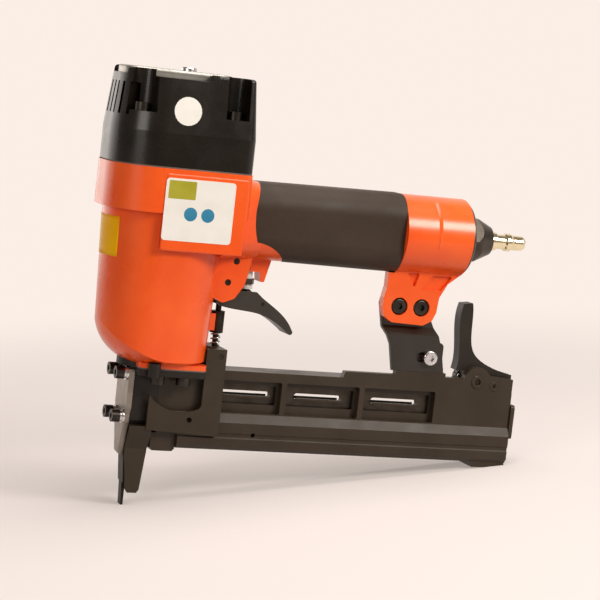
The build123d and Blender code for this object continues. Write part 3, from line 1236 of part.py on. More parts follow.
# ---------------------------------------------------------------- bracket between handle and magazine
tongue_outer_y = lug_inner_y + tongue_gap
tongue_inner_y = tongue_outer_y + bracket_thickness
lower_outer_y = bracket_lower_y - bracket_thickness
joggle_top_z, joggle_bottom_z = 121.4, 116.6
with BuildPart() as bracket:
    # joggled strip seen from the front, then trimmed to its outline seen from the side
    with BuildSketch(Plane.YZ.offset(145)):
        side_outline((tongue_inner_y, 150), (tongue_inner_y, joggle_top_z - 0.9),
                     (bracket_lower_y, joggle_bottom_z - 0.9), (bracket_lower_y, pad_top_z + 0.1),
                     (lower_outer_y, pad_top_z + 0.1), (lower_outer_y, joggle_bottom_z + 0.7),
                     (tongue_outer_y, joggle_top_z + 0.7), (tongue_outer_y, 150))
    extrude(amount=60)
    with BuildSketch(Plane.XZ):
        side_outline((154.8, 146), (152.8, 135.8), (155.9, 120.5), (160.7, 110.6), (164.7, 90), (200.5, 90),
                     (197.0, 107.7), (193.5, 117.8), (188.5, 128.0), (188.5, 146))
    extrude(amount=30, both=True, mode=Mode.INTERSECT)
    with Locations(*[Location((x, 0, lug_bolt_z), (90, 0, 0)) for x in (lug_bolt_front_x, lug_bolt_rear_x)]):
        Cylinder(m6_radius + 0.2, 30, mode=Mode.SUBTRACT)
    with BuildSketch(Plane.XZ.offset(-bracket_lower_y - 1)):
        with Locations((bracket_screw_x - 2.6, bracket_screw_z)):
            SlotOverall(12.6, 6.4)
    extrude(amount=8, mode=Mode.SUBTRACT)
bracket.part.label = "bracket"
export_step(bracket.part, "parts/bracket.step")

head_seat_y = lug_outer_y + lug_head_recess
nut_thickness, nut_half_corners = 5.0, 5.77
nut_outer_y = tongue_inner_y + nut_thickness
with BuildPart() as bracket_bolts:
    for x in (lug_bolt_front_x, lug_bolt_rear_x):
        with Locations(Location((x, head_seat_y, lug_bolt_z), (90, 0, 0))):
            Cylinder(m6_head_radius, m6_head_height, align=UP)
            Cylinder(m6_radius, nut_outer_y + 1.5 - head_seat_y, align=DOWN)
    fillet(bracket_bolts.edges().group_by(Axis.Y)[0], 1.5)
    for x in (lug_bolt_front_x, lug_bolt_rear_x):
        with BuildSketch(Plane.XZ.offset(m6_head_height - head_seat_y)):
            with Locations((x, lug_bolt_z)):
                RegularPolygon(large_drive_radius, 6)
        extrude(amount=-m6_head_height * drive_depth_share, mode=Mode.SUBTRACT)
bracket_bolts.part.label = "bracket_bolts"
export_step(bracket_bolts.part, "parts/bracket_bolts.step")

with BuildPart() as bracket_nuts:
    with BuildSketch(Plane.XZ.offset(-tongue_inner_y)):
        with Locations((lug_bolt_front_x, lug_bolt_z), (lug_bolt_rear_x, lug_bolt_z)):
            RegularPolygon(nut_half_corners, 6)
            Circle(m6_radius + 0.02, mode=Mode.SUBTRACT)
    extrude(amount=-nut_thickness)
bracket_nuts.part.label = "bracket_nuts"
export_step(bracket_nuts.part, "parts/bracket_nuts.step")

flat_head_radius, flat_head_height = 4.8, 3.4
with BuildPart() as bracket_screw:
    with Locations(Location((bracket_screw_x, lower_outer_y, bracket_screw_z), (90, 0, 0))):
        Cylinder(flat_head_radius, flat_head_height, align=UP)
        Cylinder(m5_radius, 12, align=DOWN)
    fillet(bracket_screw.edges().group_by(Axis.Y)[0], 1.2)
    with BuildSketch(Plane.XZ.offset(flat_head_height - lower_outer_y)):
        with Locations((bracket_screw_x, bracket_screw_z)):
            RegularPolygon(large_drive_radius, 6)
    extrude(amount=-flat_head_height * drive_depth_share, mode=Mode.SUBTRACT)
bracket_screw.part.label = "bracket_screw"
export_step(bracket_screw.part, "parts/bracket_screw.step")
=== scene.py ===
import bpy
import bmesh
import json
import math
from mathutils import Matrix, Vector


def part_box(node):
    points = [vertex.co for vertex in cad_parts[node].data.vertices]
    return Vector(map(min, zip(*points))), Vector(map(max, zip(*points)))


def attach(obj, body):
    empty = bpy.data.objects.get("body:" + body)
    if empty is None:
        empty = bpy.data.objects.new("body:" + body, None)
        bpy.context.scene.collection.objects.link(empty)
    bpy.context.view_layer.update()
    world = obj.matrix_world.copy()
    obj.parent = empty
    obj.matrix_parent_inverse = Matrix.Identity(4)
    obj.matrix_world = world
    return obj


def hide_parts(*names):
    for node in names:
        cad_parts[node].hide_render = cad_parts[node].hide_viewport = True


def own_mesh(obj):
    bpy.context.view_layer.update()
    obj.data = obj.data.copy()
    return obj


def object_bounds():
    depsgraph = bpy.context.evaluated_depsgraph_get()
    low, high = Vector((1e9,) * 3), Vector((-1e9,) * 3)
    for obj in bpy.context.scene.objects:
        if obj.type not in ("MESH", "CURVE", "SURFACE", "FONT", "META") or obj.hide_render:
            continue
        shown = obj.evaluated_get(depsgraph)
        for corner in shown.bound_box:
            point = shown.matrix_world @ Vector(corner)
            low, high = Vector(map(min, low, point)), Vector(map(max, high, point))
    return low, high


# Looks of the pneumatic flooring stapler. Lengths are in metres in the shared frame of the CAD:
# the origin at the locating tip, +Z up the driver axis and +X back towards the air plug.

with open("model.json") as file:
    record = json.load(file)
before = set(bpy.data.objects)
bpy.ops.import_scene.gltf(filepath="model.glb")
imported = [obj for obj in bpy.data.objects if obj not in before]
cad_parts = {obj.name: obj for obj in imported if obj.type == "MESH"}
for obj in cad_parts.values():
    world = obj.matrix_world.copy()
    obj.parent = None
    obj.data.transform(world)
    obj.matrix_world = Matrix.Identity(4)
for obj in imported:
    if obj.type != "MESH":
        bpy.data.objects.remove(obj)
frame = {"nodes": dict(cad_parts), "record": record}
cad_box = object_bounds()
scene = bpy.context.scene
nodes = frame["nodes"]
body_of_node = {node: body for body, members in frame["record"]["behaviour"]["bodies"].items()
                for node in members}
slot_of_node = {entry["node"]: entry["material_slot"] for entry in frame["record"]["subparts"]}
mm = 0.001

# the tool rests on its nose tip and on the rear foot of its magazine
floor_tilt = math.radians(8.37)
nose_tip = Vector((-0.0016, 0, 0))


# ---------------------------------------------------------------- shared effects
def effect(name, inputs, outputs):
    """Empty shader node group with its named inputs and outputs."""
    group = bpy.data.node_groups.new(name, "ShaderNodeTree")
    for label, kind, value in inputs:
        socket = group.interface.new_socket(label, in_out="INPUT", socket_type=kind)
        if value is not None:
            socket.default_value = value
    for label, kind in outputs:
        group.interface.new_socket(label, in_out="OUTPUT", socket_type=kind)
    return group, group.nodes.new("NodeGroupInput"), group.nodes.new("NodeGroupOutput")


def stretch(tree, source, low, high):
    """Noise spread so that low becomes 0 and high becomes 1."""
    node = tree.nodes.new("ShaderNodeMapRange")
    node.inputs["From Min"].default_value = low
    node.inputs["From Max"].default_value = high
    tree.links.new(source, node.inputs["Value"])
    return node.outputs["Result"]


def mixed(tree, kind, factor, first, second):
    """First value turning into the second one as the factor rises."""
    node = tree.nodes.new("ShaderNodeMix")
    node.data_type = kind
    tree.links.new(factor, node.inputs["Factor"])
    tree.links.new(first, node.inputs["A"])
    tree.links.new(second, node.inputs["B"])
    return node.outputs["Result"]


def uneven_colour():
    """Base colour that drifts towards a second one in soft clouds, with fine dust on it."""
    tree, given, result = effect(
        "uneven_colour",
        [("Coordinates", "NodeSocketVector", None), ("Colour", "NodeSocketColor", (0.5, 0.5, 0.5, 1)),
         ("Drift", "NodeSocketColor", (0.4, 0.4, 0.4, 1)), ("Dust", "NodeSocketColor", (0.5, 0.45, 0.4, 1)),
         ("Cloud Scale", "NodeSocketFloat", 30.0), ("Dust Amount", "NodeSocketFloat", 0.06)],
        [("Colour", "NodeSocketColor")])
    link = tree.links.new
    clouds = tree.nodes.new("ShaderNodeTexNoise")
    clouds.inputs["Detail"].default_value = 3.0
    clouds.inputs["Roughness"].default_value = 0.55
    link(given.outputs["Coordinates"], clouds.inputs["Vector"])
    link(given.outputs["Cloud Scale"], clouds.inputs["Scale"])
    drifted = mixed(tree, "RGBA", stretch(tree, clouds.outputs["Fac"], 0.35, 0.68),
                    given.outputs["Colour"], given.outputs["Drift"])
    specks = tree.nodes.new("ShaderNodeTexNoise")
    specks.inputs["Scale"].default_value = 900.0
    specks.inputs["Detail"].default_value = 2.0
    link(given.outputs["Coordinates"], specks.inputs["Vector"])
    amount = tree.nodes.new("ShaderNodeMath")
    amount.operation = "MULTIPLY"
    link(stretch(tree, specks.outputs["Fac"], 0.5, 0.75), amount.inputs[0])
    link(given.outputs["Dust Amount"], amount.inputs[1])
    dusty = mixed(tree, "RGBA", amount.outputs["Value"], drifted, given.outputs["Dust"])
    link(dusty, result.inputs["Colour"])
    return tree


def handled_gloss():
    """Roughness that wanders with smears and fine rub marks."""
    tree, given, result = effect(
        "handled_gloss",
        [("Coordinates", "NodeSocketVector", None), ("Smooth", "NodeSocketFloat", 0.3),
         ("Rough", "NodeSocketFloat", 0.45), ("Smear Scale", "NodeSocketFloat", 60.0)],
        [("Roughness", "NodeSocketFloat")])
    link = tree.links.new
    smears = tree.nodes.new("ShaderNodeTexNoise")
    smears.inputs["Detail"].default_value = 4.0
    smears.inputs["Distortion"].default_value = 0.6
    link(given.outputs["Coordinates"], smears.inputs["Vector"])
    link(given.outputs["Smear Scale"], smears.inputs["Scale"])
    rubbed = mixed(tree, "FLOAT", stretch(tree, smears.outputs["Fac"], 0.3, 0.7),
                   given.outputs["Smooth"], given.outputs["Rough"])
    link(rubbed, result.inputs["Roughness"])
    return tree


def cast_skin():
    """Height of a cast, painted skin: orange peel over fine pebbling."""
    tree, given, result = effect(
        "cast_skin",
        [("Coordinates", "NodeSocketVector", None), ("Peel Scale", "NodeSocketFloat", 450.0),
         ("Pebble Scale", "NodeSocketFloat", 1600.0), ("Pebble Share", "NodeSocketFloat", 0.4)],
        [("Height", "NodeSocketFloat")])
    link = tree.links.new
    peel = tree.nodes.new("ShaderNodeTexNoise")
    peel.inputs["Detail"].default_value = 1.0
    link(given.outputs["Coordinates"], peel.inputs["Vector"])
    link(given.outputs["Peel Scale"], peel.inputs["Scale"])
    pebbles = tree.nodes.new("ShaderNodeTexVoronoi")
    link(given.outputs["Coordinates"], pebbles.inputs["Vector"])
    link(given.outputs["Pebble Scale"], pebbles.inputs["Scale"])
    skin = mixed(tree, "FLOAT", given.outputs["Pebble Share"], peel.outputs["Fac"],
                 pebbles.outputs["Distance"])
    link(skin, result.inputs["Height"])
    return tree


def tool_marks():
    """Fine lines of turning, grinding or extruding, drawn out along one axis by the Stretch input."""
    tree, given, result = effect(
        "tool_marks",
        [("Coordinates", "NodeSocketVector", None), ("Stretch", "NodeSocketVector", (1.0, 1.0, 1.0)),
         ("Smooth", "NodeSocketFloat", 0.25), ("Rough", "NodeSocketFloat", 0.4)],
        [("Height", "NodeSocketFloat"), ("Roughness", "NodeSocketFloat")])
    link = tree.links.new
    drawn = tree.nodes.new("ShaderNodeVectorMath")
    drawn.operation = "MULTIPLY"
    link(given.outputs["Coordinates"], drawn.inputs[0])
    link(given.outputs["Stretch"], drawn.inputs[1])
    lines = tree.nodes.new("ShaderNodeTexNoise")
    lines.inputs["Scale"].default_value = 1.0
    lines.inputs["Detail"].default_value = 3.0
    link(drawn.outputs["Vector"], lines.inputs["Vector"])
    worn = mixed(tree, "FLOAT", stretch(tree, lines.outputs["Fac"], 0.3, 0.7),
                 given.outputs["Smooth"], given.outputs["Rough"])
    link(lines.outputs["Fac"], result.inputs["Height"])
    link(worn, result.inputs["Roughness"])
    return tree


uneven_colour_effect = uneven_colour()
handled_gloss_effect = handled_gloss()
cast_skin_effect = cast_skin()
tool_marks_effect = tool_marks()


# ---------------------------------------------------------------- finishes
def blank_finish(name):
    """Material with its Principled shader and Object coordinates."""
    material = bpy.data.materials.new(name)
    material.use_nodes = True
    tree = material.node_tree
    shader = tree.nodes["Principled BSDF"]
    place = tree.nodes.new("ShaderNodeTexCoord").outputs["Object"]
    return material, tree, shader, place


def place_effect(tree, group, place, **values):
    """Effect placed in a material, with the values that this material gives it."""
    node = tree.nodes.new("ShaderNodeGroup")
    node.node_tree = group
    tree.links.new(place, node.inputs["Coordinates"])
    for label, value in values.items():
        node.inputs[label.replace("_", " ")].default_value = value
    return node


def add_bump(tree, shader, height, strength, depth):
    """Relief of the surface, from a height."""
    bump = tree.nodes.new("ShaderNodeBump")
    bump.inputs["Strength"].default_value = strength
    bump.inputs["Distance"].default_value = depth
    tree.links.new(height, bump.inputs["Height"])
    tree.links.new(bump.outputs["Normal"], shader.inputs["Normal"])


def painted_casting(name, colour, drift, dust, gloss, coat=0.0, shine=0.5, dust_amount=0.015):
    """Painted or powder-coated casting."""
    material, tree, shader, place = blank_finish(name)
    tint = place_effect(tree, uneven_colour_effect, place, Colour=(*colour, 1), Drift=(*drift, 1),
                        Dust=(*dust, 1), Cloud_Scale=28.0, Dust_Amount=dust_amount)
    rub = place_effect(tree, handled_gloss_effect, place, Smooth=gloss[0], Rough=gloss[1], Smear_Scale=55.0)
    skin = place_effect(tree, cast_skin_effect, place, Peel_Scale=450.0, Pebble_Scale=1500.0,
                        Pebble_Share=0.35)
    tree.links.new(tint.outputs["Colour"], shader.inputs["Base Color"])
    tree.links.new(rub.outputs["Roughness"], shader.inputs["Roughness"])
    shader.inputs["Coat Weight"].default_value = coat
    shader.inputs["Coat Roughness"].default_value = 0.22
    shader.inputs["Specular IOR Level"].default_value = shine
    add_bump(tree, shader, skin.outputs["Height"], 0.35, 0.04 * mm)
    return material


def worked_metal(name, colour, drift, marks, gloss):
    """Bare, plated or blackened metal with the marks of how it was worked."""
    material, tree, shader, place = blank_finish(name)
    tint = place_effect(tree, uneven_colour_effect, place, Colour=(*colour, 1), Drift=(*drift, 1),
                        Dust=(*drift, 1), Cloud_Scale=90.0, Dust_Amount=0.1)
    lines = place_effect(tree, tool_marks_effect, place, Stretch=marks, Smooth=gloss[0], Rough=gloss[1])
    tree.links.new(tint.outputs["Colour"], shader.inputs["Base Color"])
    tree.links.new(lines.outputs["Roughness"], shader.inputs["Roughness"])
    shader.inputs["Metallic"].default_value = 1.0
    add_bump(tree, shader, lines.outputs["Height"], 0.3, 0.01 * mm)
    return material


def moulded(name, colour, drift, gloss, shine=0.5, dust_amount=0.08):
    """Rubber or plastic from a mould, with a fine matt grain."""
    material, tree, shader, place = blank_finish(name)
    tint = place_effect(tree, uneven_colour_effect, place, Colour=(*colour, 1), Drift=(*drift, 1),
                        Dust=(0.3, 0.26, 0.22, 1), Cloud_Scale=35.0, Dust_Amount=dust_amount)
    rub = place_effect(tree, handled_gloss_effect, place, Smooth=gloss[0], Rough=gloss[1], Smear_Scale=40.0)
    skin = place_effect(tree, cast_skin_effect, place, Peel_Scale=600.0, Pebble_Scale=1400.0,
                        Pebble_Share=0.8)
    tree.links.new(tint.outputs["Colour"], shader.inputs["Base Color"])
    tree.links.new(rub.outputs["Roughness"], shader.inputs["Roughness"])
    shader.inputs["Specular IOR Level"].default_value = shine
    add_bump(tree, shader, skin.outputs["Height"], 0.4, 0.05 * mm)
    return material


def sticker_finish(name, colour, drift):
    """Printed film, a little creased."""
    material, tree, shader, place = blank_finish(name)
    tint = place_effect(tree, uneven_colour_effect, place, Colour=(*colour, 1), Drift=(*drift, 1),
                        Dust=(0.5, 0.45, 0.4, 1), Cloud_Scale=60.0, Dust_Amount=0.01)
    rub = place_effect(tree, handled_gloss_effect, place, Smooth=0.28, Rough=0.4, Smear_Scale=90.0)
    skin = place_effect(tree, cast_skin_effect, place, Peel_Scale=120.0, Pebble_Scale=900.0,
                        Pebble_Share=0.1)
    tree.links.new(tint.outputs["Colour"], shader.inputs["Base Color"])
    tree.links.new(rub.outputs["Roughness"], shader.inputs["Roughness"])
    shader.inputs["Specular IOR Level"].default_value = 0.06
    add_bump(tree, shader, skin.outputs["Height"], 0.2, 0.05 * mm)
    return material


warm_dust = (0.32, 0.27, 0.22)
# stretch of the tool marks
all_round = (700.0, 700.0, 700.0)
along_x = (60.0, 1500.0, 1500.0)
along_z = (1500.0, 1500.0, 60.0)

finishes = {
    "orange_paint": painted_casting("orange_paint", (0.86, 0.085, 0.006), (0.92, 0.115, 0.012),
                                    (0.95, 0.30, 0.12), (0.24, 0.36), coat=0.45, shine=0.25,
                                    dust_amount=0.01),
    "cap_black": painted_casting("cap_black", (0.006, 0.0036, 0.0016), (0.010, 0.0065, 0.0035), warm_dust,
                                 (0.22, 0.32), shine=0.4),
    "gasket": moulded("gasket", (0.10, 0.085, 0.07), (0.14, 0.12, 0.10), (0.7, 0.85)),
    "screw_black": worked_metal("screw_black", (0.035, 0.030, 0.026), (0.07, 0.06, 0.05), all_round,
                                (0.3, 0.45)),
    "deflector_grey": worked_metal("deflector_grey", (0.42, 0.40, 0.36), (0.32, 0.30, 0.27), along_x,
                                   (0.34, 0.5)),
    "screw_steel": worked_metal("screw_steel", (0.72, 0.70, 0.70), (0.55, 0.53, 0.53), all_round,
                                (0.16, 0.3)),
    "grip_rubber": moulded("grip_rubber", (0.031, 0.017, 0.009), (0.040, 0.024, 0.014), (0.5, 0.65),
                           shine=0.3, dust_amount=0.02),
    "cast_aluminium": painted_casting("cast_aluminium", (0.55, 0.55, 0.56), (0.62, 0.62, 0.62), warm_dust,
                                      (0.35, 0.5)),
    "rubber_black": moulded("rubber_black", (0.015, 0.015, 0.015), (0.022, 0.022, 0.022), (0.5, 0.65)),
    "hard_steel": worked_metal("hard_steel", (0.42, 0.38, 0.33), (0.34, 0.30, 0.26), along_z, (0.26, 0.4)),
    "filter_plastic": moulded("filter_plastic", (0.08, 0.08, 0.08), (0.10, 0.10, 0.10), (0.45, 0.6)),
    "nut_dark": worked_metal("nut_dark", (0.060, 0.050, 0.042), (0.10, 0.085, 0.07), along_x, (0.3, 0.46)),
    "plug_brass": worked_metal("plug_brass", (0.86, 0.76, 0.52), (0.78, 0.66, 0.42), along_x, (0.12, 0.22)),
    "trigger_black": painted_casting("trigger_black", (0.020, 0.014, 0.009), (0.032, 0.024, 0.017), warm_dust,
                                     (0.34, 0.48)),
    "pin_steel": worked_metal("pin_steel", (0.022, 0.016, 0.013), (0.05, 0.04, 0.03), all_round, (0.4, 0.55)),
    "valve_white": moulded("valve_white", (0.80, 0.78, 0.74), (0.72, 0.70, 0.66), (0.35, 0.5),
                           dust_amount=0.03),
    "spring_steel": worked_metal("spring_steel", (0.66, 0.64, 0.62), (0.5, 0.48, 0.46), all_round,
                                 (0.18, 0.3)),
    "nose_black": painted_casting("nose_black", (0.009, 0.006, 0.004), (0.016, 0.012, 0.008), warm_dust,
                                  (0.4, 0.55), shine=0.3),
    "plate_grey": worked_metal("plate_grey", (0.31, 0.27, 0.23), (0.25, 0.22, 0.19), along_z, (0.36, 0.52)),
    "safety_black": painted_casting("safety_black", (0.031, 0.021, 0.011), (0.042, 0.030, 0.018), warm_dust,
                                    (0.36, 0.5), shine=0.3),
    "magazine_coat": painted_casting("magazine_coat", (0.031, 0.020, 0.0105), (0.042, 0.029, 0.018),
                                     warm_dust, (0.32, 0.45), shine=0.3),
    "lever_black": painted_casting("lever_black", (0.012, 0.008, 0.0045), (0.020, 0.014, 0.009), warm_dust,
                                   (0.36, 0.5), shine=0.3),
    "bracket_black": painted_casting("bracket_black", (0.015, 0.009, 0.005), (0.023, 0.015, 0.009), warm_dust,
                                     (0.3, 0.44)),
}
white_film = sticker_finish("white_film", (0.86, 0.83, 0.78), (0.80, 0.77, 0.71))
olive_film = sticker_finish("olive_film", (0.36, 0.33, 0.030), (0.44, 0.40, 0.05))
blue_film = sticker_finish("blue_film", (0.035, 0.20, 0.34), (0.05, 0.25, 0.40))
yellow_film = sticker_finish("yellow_film", (0.90, 0.44, 0.003), (0.95, 0.50, 0.005))
rail_finish = worked_metal("rail_finish", (0.055, 0.045, 0.036), (0.085, 0.07, 0.058), along_x, (0.38, 0.52))
node_finishes = {"staple_rail": rail_finish, "end_cap": finishes["nut_dark"]}
for node_name, cad_piece in nodes.items():
    finish = node_finishes.get(node_name, finishes[slot_of_node[node_name]])
    for material_slot in cad_piece.material_slots:
        material_slot.material = finish


# ---------------------------------------------------------------- shapes
def finished_piece(name, mesh_work, material, body, smooth=True):
    """Object from a finished bmesh, riding on its body."""
    bmesh.ops.remove_doubles(mesh_work, verts=mesh_work.verts[:], dist=0.001 * mm)
    bmesh.ops.recalc_face_normals(mesh_work, faces=mesh_work.faces[:])
    mesh = bpy.data.meshes.new(name)
    mesh_work.to_mesh(mesh)
    mesh_work.free()
    for face in mesh.polygons:
        face.use_smooth = smooth
    mesh.materials.append(material)
    piece = bpy.data.objects.new(name, mesh)
    scene.collection.objects.link(piece)
    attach(piece, body)
    return piece


def sticker_sheet(name, width, height, corner, turn, material, thickness=0.12 * mm):
    """Thin sheet with rounded corners, lying where the turn matrix puts its XY plane."""
    work = bmesh.new()
    bmesh.ops.create_grid(work, x_segments=1, y_segments=1, size=0.5)
    bmesh.ops.scale(work, vec=(width, height, 1), verts=work.verts[:])
    bmesh.ops.bevel(work, geom=work.verts[:], offset=corner, segments=6, profile=0.5, affect="VERTICES",
                    material=-1)
    raised = bmesh.ops.extrude_face_region(work, geom=work.faces[:])
    bmesh.ops.translate(work, vec=(0, 0, thickness),
                        verts=[v for v in raised["geom"] if isinstance(v, bmesh.types.BMVert)])
    bmesh.ops.transform(work, matrix=turn, verts=work.verts[:])
    return finished_piece(name, work, material, "body", smooth=False)


def wound_spring(name, node, body, wire, turns):
    """Spring of smooth round wire that takes its CAD node's place."""
    low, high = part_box(node)
    centre_x, centre_y = (low.x + high.x) / 2, (low.y + high.y) / 2
    coil_radius = (high.x - low.x - wire) / 2
    climb = high.z - low.z - wire
    steps_per_turn = 28
    steps = steps_per_turn * turns
    work = bmesh.new()
    bmesh.ops.create_circle(work, segments=12, radius=wire / 2)
    start = (Matrix.Translation((centre_x + coil_radius, centre_y, low.z + wire / 2))
             @ Matrix.Rotation(math.radians(90), 4, "X"))
    bmesh.ops.transform(work, matrix=start, verts=work.verts[:])
    bmesh.ops.spin(work, geom=work.verts[:] + work.edges[:], cent=(centre_x, centre_y, 0), axis=(0, 0, 1),
                   dvec=(0, 0, climb / steps), angle=2 * math.pi * turns, steps=steps)
    bmesh.ops.holes_fill(work, edges=[e for e in work.edges if len(e.link_faces) == 1], sides=0)
    spring = finished_piece(name, work, finishes["spring_steel"], body)
    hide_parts(node)
    return spring


def ring_boss(name, x, z, flank_y, outer, inner, height, material, body):
    """Round raised boss with a hole in its middle, on a flank that faces the near or the far side."""
    outward = -1 if flank_y < 0 else 1
    root, hole_edge, rim_edge = -0.4 * mm, 0.3 * mm, 0.5 * mm
    rows = ((inner, root), (inner, height - hole_edge), (inner + hole_edge, height),
            (outer - rim_edge, height), (outer, height - rim_edge), (outer, root))
    work = bmesh.new()
    profile = [work.verts.new((x + radius, flank_y + outward * rise, z)) for radius, rise in rows]
    for first, second in zip(profile, profile[1:] + profile[:1]):
        work.edges.new((first, second))
    bmesh.ops.spin(work, geom=work.verts[:] + work.edges[:], cent=(x, flank_y, z), axis=(0, 1, 0),
                   angle=2 * math.pi, steps=36, use_merge=True)
    return finished_piece(name, work, material, body, smooth=False)


def flat_panel(name, low, high, outer_y, inner_y, corner, edge, material, body):
    """Raised flat panel on a flank, between two (x, z) corners, with its outer rim eased."""
    work = bmesh.new()
    bmesh.ops.create_grid(work, x_segments=1, y_segments=1, size=0.5)
    bmesh.ops.scale(work, vec=(high[0] - low[0], high[1] - low[1], 1), verts=work.verts[:])
    bmesh.ops.bevel(work, geom=work.verts[:], offset=corner, segments=6, profile=0.5, affect="VERTICES",
                    material=-1)
    raised = bmesh.ops.extrude_face_region(work, geom=work.faces[:])
    top = [part for part in raised["geom"] if isinstance(part, bmesh.types.BMVert)]
    bmesh.ops.translate(work, vec=(0, 0, abs(outer_y - inner_y)), verts=top)
    rim = [e for e in work.edges if all(v in top for v in e.verts) and len(e.link_faces) == 2]
    bmesh.ops.bevel(work, geom=rim, offset=edge, segments=3, profile=0.5, affect="EDGES", material=-1)
    outward = Matrix.Rotation(math.radians(90 if outer_y < inner_y else -90), 4, "X")
    centre = Vector(((low[0] + high[0]) / 2, inner_y, (low[1] + high[1]) / 2))
    bmesh.ops.transform(work, matrix=Matrix.Translation(centre) @ outward, verts=work.verts[:])
    return finished_piece(name, work, material, body, smooth=False)


def front_sticker(name, radius_low, radius_high, low_z, high_z, half_angle, material):
    """Sticker that wraps the round front of the barrel."""
    work = bmesh.new()
    bmesh.ops.create_grid(work, x_segments=28, y_segments=8, size=0.5)
    for vert in work.verts:
        turn = math.radians(178) - 2 * half_angle * vert.co.x
        rise = vert.co.y + 0.5
        radius = radius_low + (radius_high - radius_low) * rise
        vert.co = (radius * math.cos(turn), radius * math.sin(turn), low_z + (high_z - low_z) * rise)
    raised = bmesh.ops.extrude_face_region(work, geom=work.faces[:])
    outer = [part for part in raised["geom"] if isinstance(part, bmesh.types.BMVert)]
    bmesh.ops.scale(work, vec=(1.005, 1.005, 1), verts=outer)
    return finished_piece(name, work, material, "body")


# ---------------------------------------------------------------- new pieces
# bosses round the latch pin and the rivet behind it, on both flanks of the magazine
sides = (("near", -1), ("far", 1))
magazine_half_width = 9.6 * mm
for side_name, side_sign in sides:
    flank = side_sign * magazine_half_width
    ring_boss(side_name + "_latch_pin_boss", x=224.4 * mm, z=89.6 * mm, flank_y=flank, outer=4.4 * mm,
              inner=2.05 * mm, height=0.8 * mm, material=finishes["magazine_coat"],
              body=body_of_node["magazine_body"])
    ring_boss(side_name + "_rivet_boss", x=236.6 * mm, z=87.6 * mm, flank_y=flank, outer=3.4 * mm,
              inner=1.2 * mm, height=0.6 * mm, material=finishes["magazine_coat"],
              body=body_of_node["magazine_body"])

# crease down each flank of the rear barrel, above the lug
crease_x, crease_axis_z, crease_radius = 180.0 * mm, 180.0 * mm, 25.1 * mm
crease_half_width, crease_height, crease_root = 2.0 * mm, 0.5 * mm, -0.3 * mm
crease_start, crease_length = math.radians(28), math.radians(75)
for side_name, side_sign in sides:
    crease_work = bmesh.new()
    crease = [crease_work.verts.new((crease_x + across, 0, crease_axis_z + crease_radius + rise))
              for across, rise in ((-crease_half_width, crease_root), (0, crease_height),
                                   (crease_half_width, crease_root))]
    for first, second in zip(crease, crease[1:] + crease[:1]):
        crease_work.edges.new((first, second))
    bmesh.ops.rotate(crease_work, cent=(crease_x, 0, crease_axis_z), verts=crease_work.verts[:],
                     matrix=Matrix.Rotation(-side_sign * crease_start, 3, "X"))
    bmesh.ops.spin(crease_work, geom=crease_work.verts[:] + crease_work.edges[:],
                   cent=(crease_x, 0, crease_axis_z), axis=(-side_sign, 0, 0), angle=crease_length,
                   steps=24)
    bmesh.ops.holes_fill(crease_work, edges=[e for e in crease_work.edges if len(e.link_faces) == 1],
                         sides=0)
    finished_piece(side_name + "_barrel_crease", crease_work, finishes["orange_paint"], "body",
                   smooth=False)

# lips that narrow the sight slots in the magazine's channel walls
lip_size = Vector((31.2 * mm, 1.2 * mm, 1.7 * mm))
lip_y, lip_z, lip_edge = 4.25 * mm, 71.4 * mm, 0.25 * mm
for side_name, side_sign in sides:
    for number, slot_x in enumerate((70.8 * mm, 119.0 * mm, 171.0 * mm), 1):
        lip_work = bmesh.new()
        bmesh.ops.create_cube(lip_work, size=1)
        bmesh.ops.scale(lip_work, vec=lip_size, verts=lip_work.verts[:])
        bmesh.ops.translate(lip_work, vec=(slot_x, side_sign * lip_y, lip_z), verts=lip_work.verts[:])
        bmesh.ops.bevel(lip_work, geom=lip_work.edges[:], offset=lip_edge, segments=2, profile=0.5,
                        affect="EDGES", material=-1)
        finished_piece("%s_slot_lip_%d" % (side_name, number), lip_work, finishes["magazine_coat"],
                       body_of_node["magazine_body"], smooth=False)

# springs of round wire in place of the CAD's six-sided ones:
# node, wire, turns, joint, travel and the end that stays
for spring_node, wire, turns, joint, travel, fixed_end in (
        ("valve_spring", 0.6 * mm, 5, "valve_stem_slide", 2.0 * mm, "top"),
        ("head_valve_spring", 1.6 * mm, 3, "head_valve_slide", 3.0 * mm, "top"),
        ("safety_spring", 1.0 * mm, 7, "safety_slide", 6.0 * mm, "top"),
        ("latch_spring", 0.7 * mm, 5, "latch_hinge", 2.4 * mm, "bottom")):
    spring = wound_spring(spring_node + "_wire", spring_node, body_of_node[spring_node], wire, turns)
    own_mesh(spring)

# raised panels that carry the stickers, one on each flank of the collar and barrel
panel_outer_y, panel_inner_y = 34.9 * mm, 33.0 * mm
for side_name, side_sign in sides:
    flat_panel(side_name + "_label_panel", low=(-4.5 * mm, 160.5 * mm), high=(47.0 * mm, 206.4 * mm),
               outer_y=side_sign * panel_outer_y, inner_y=side_sign * panel_inner_y, corner=1.6 * mm,
               edge=0.9 * mm, material=finishes["orange_paint"], body="body")

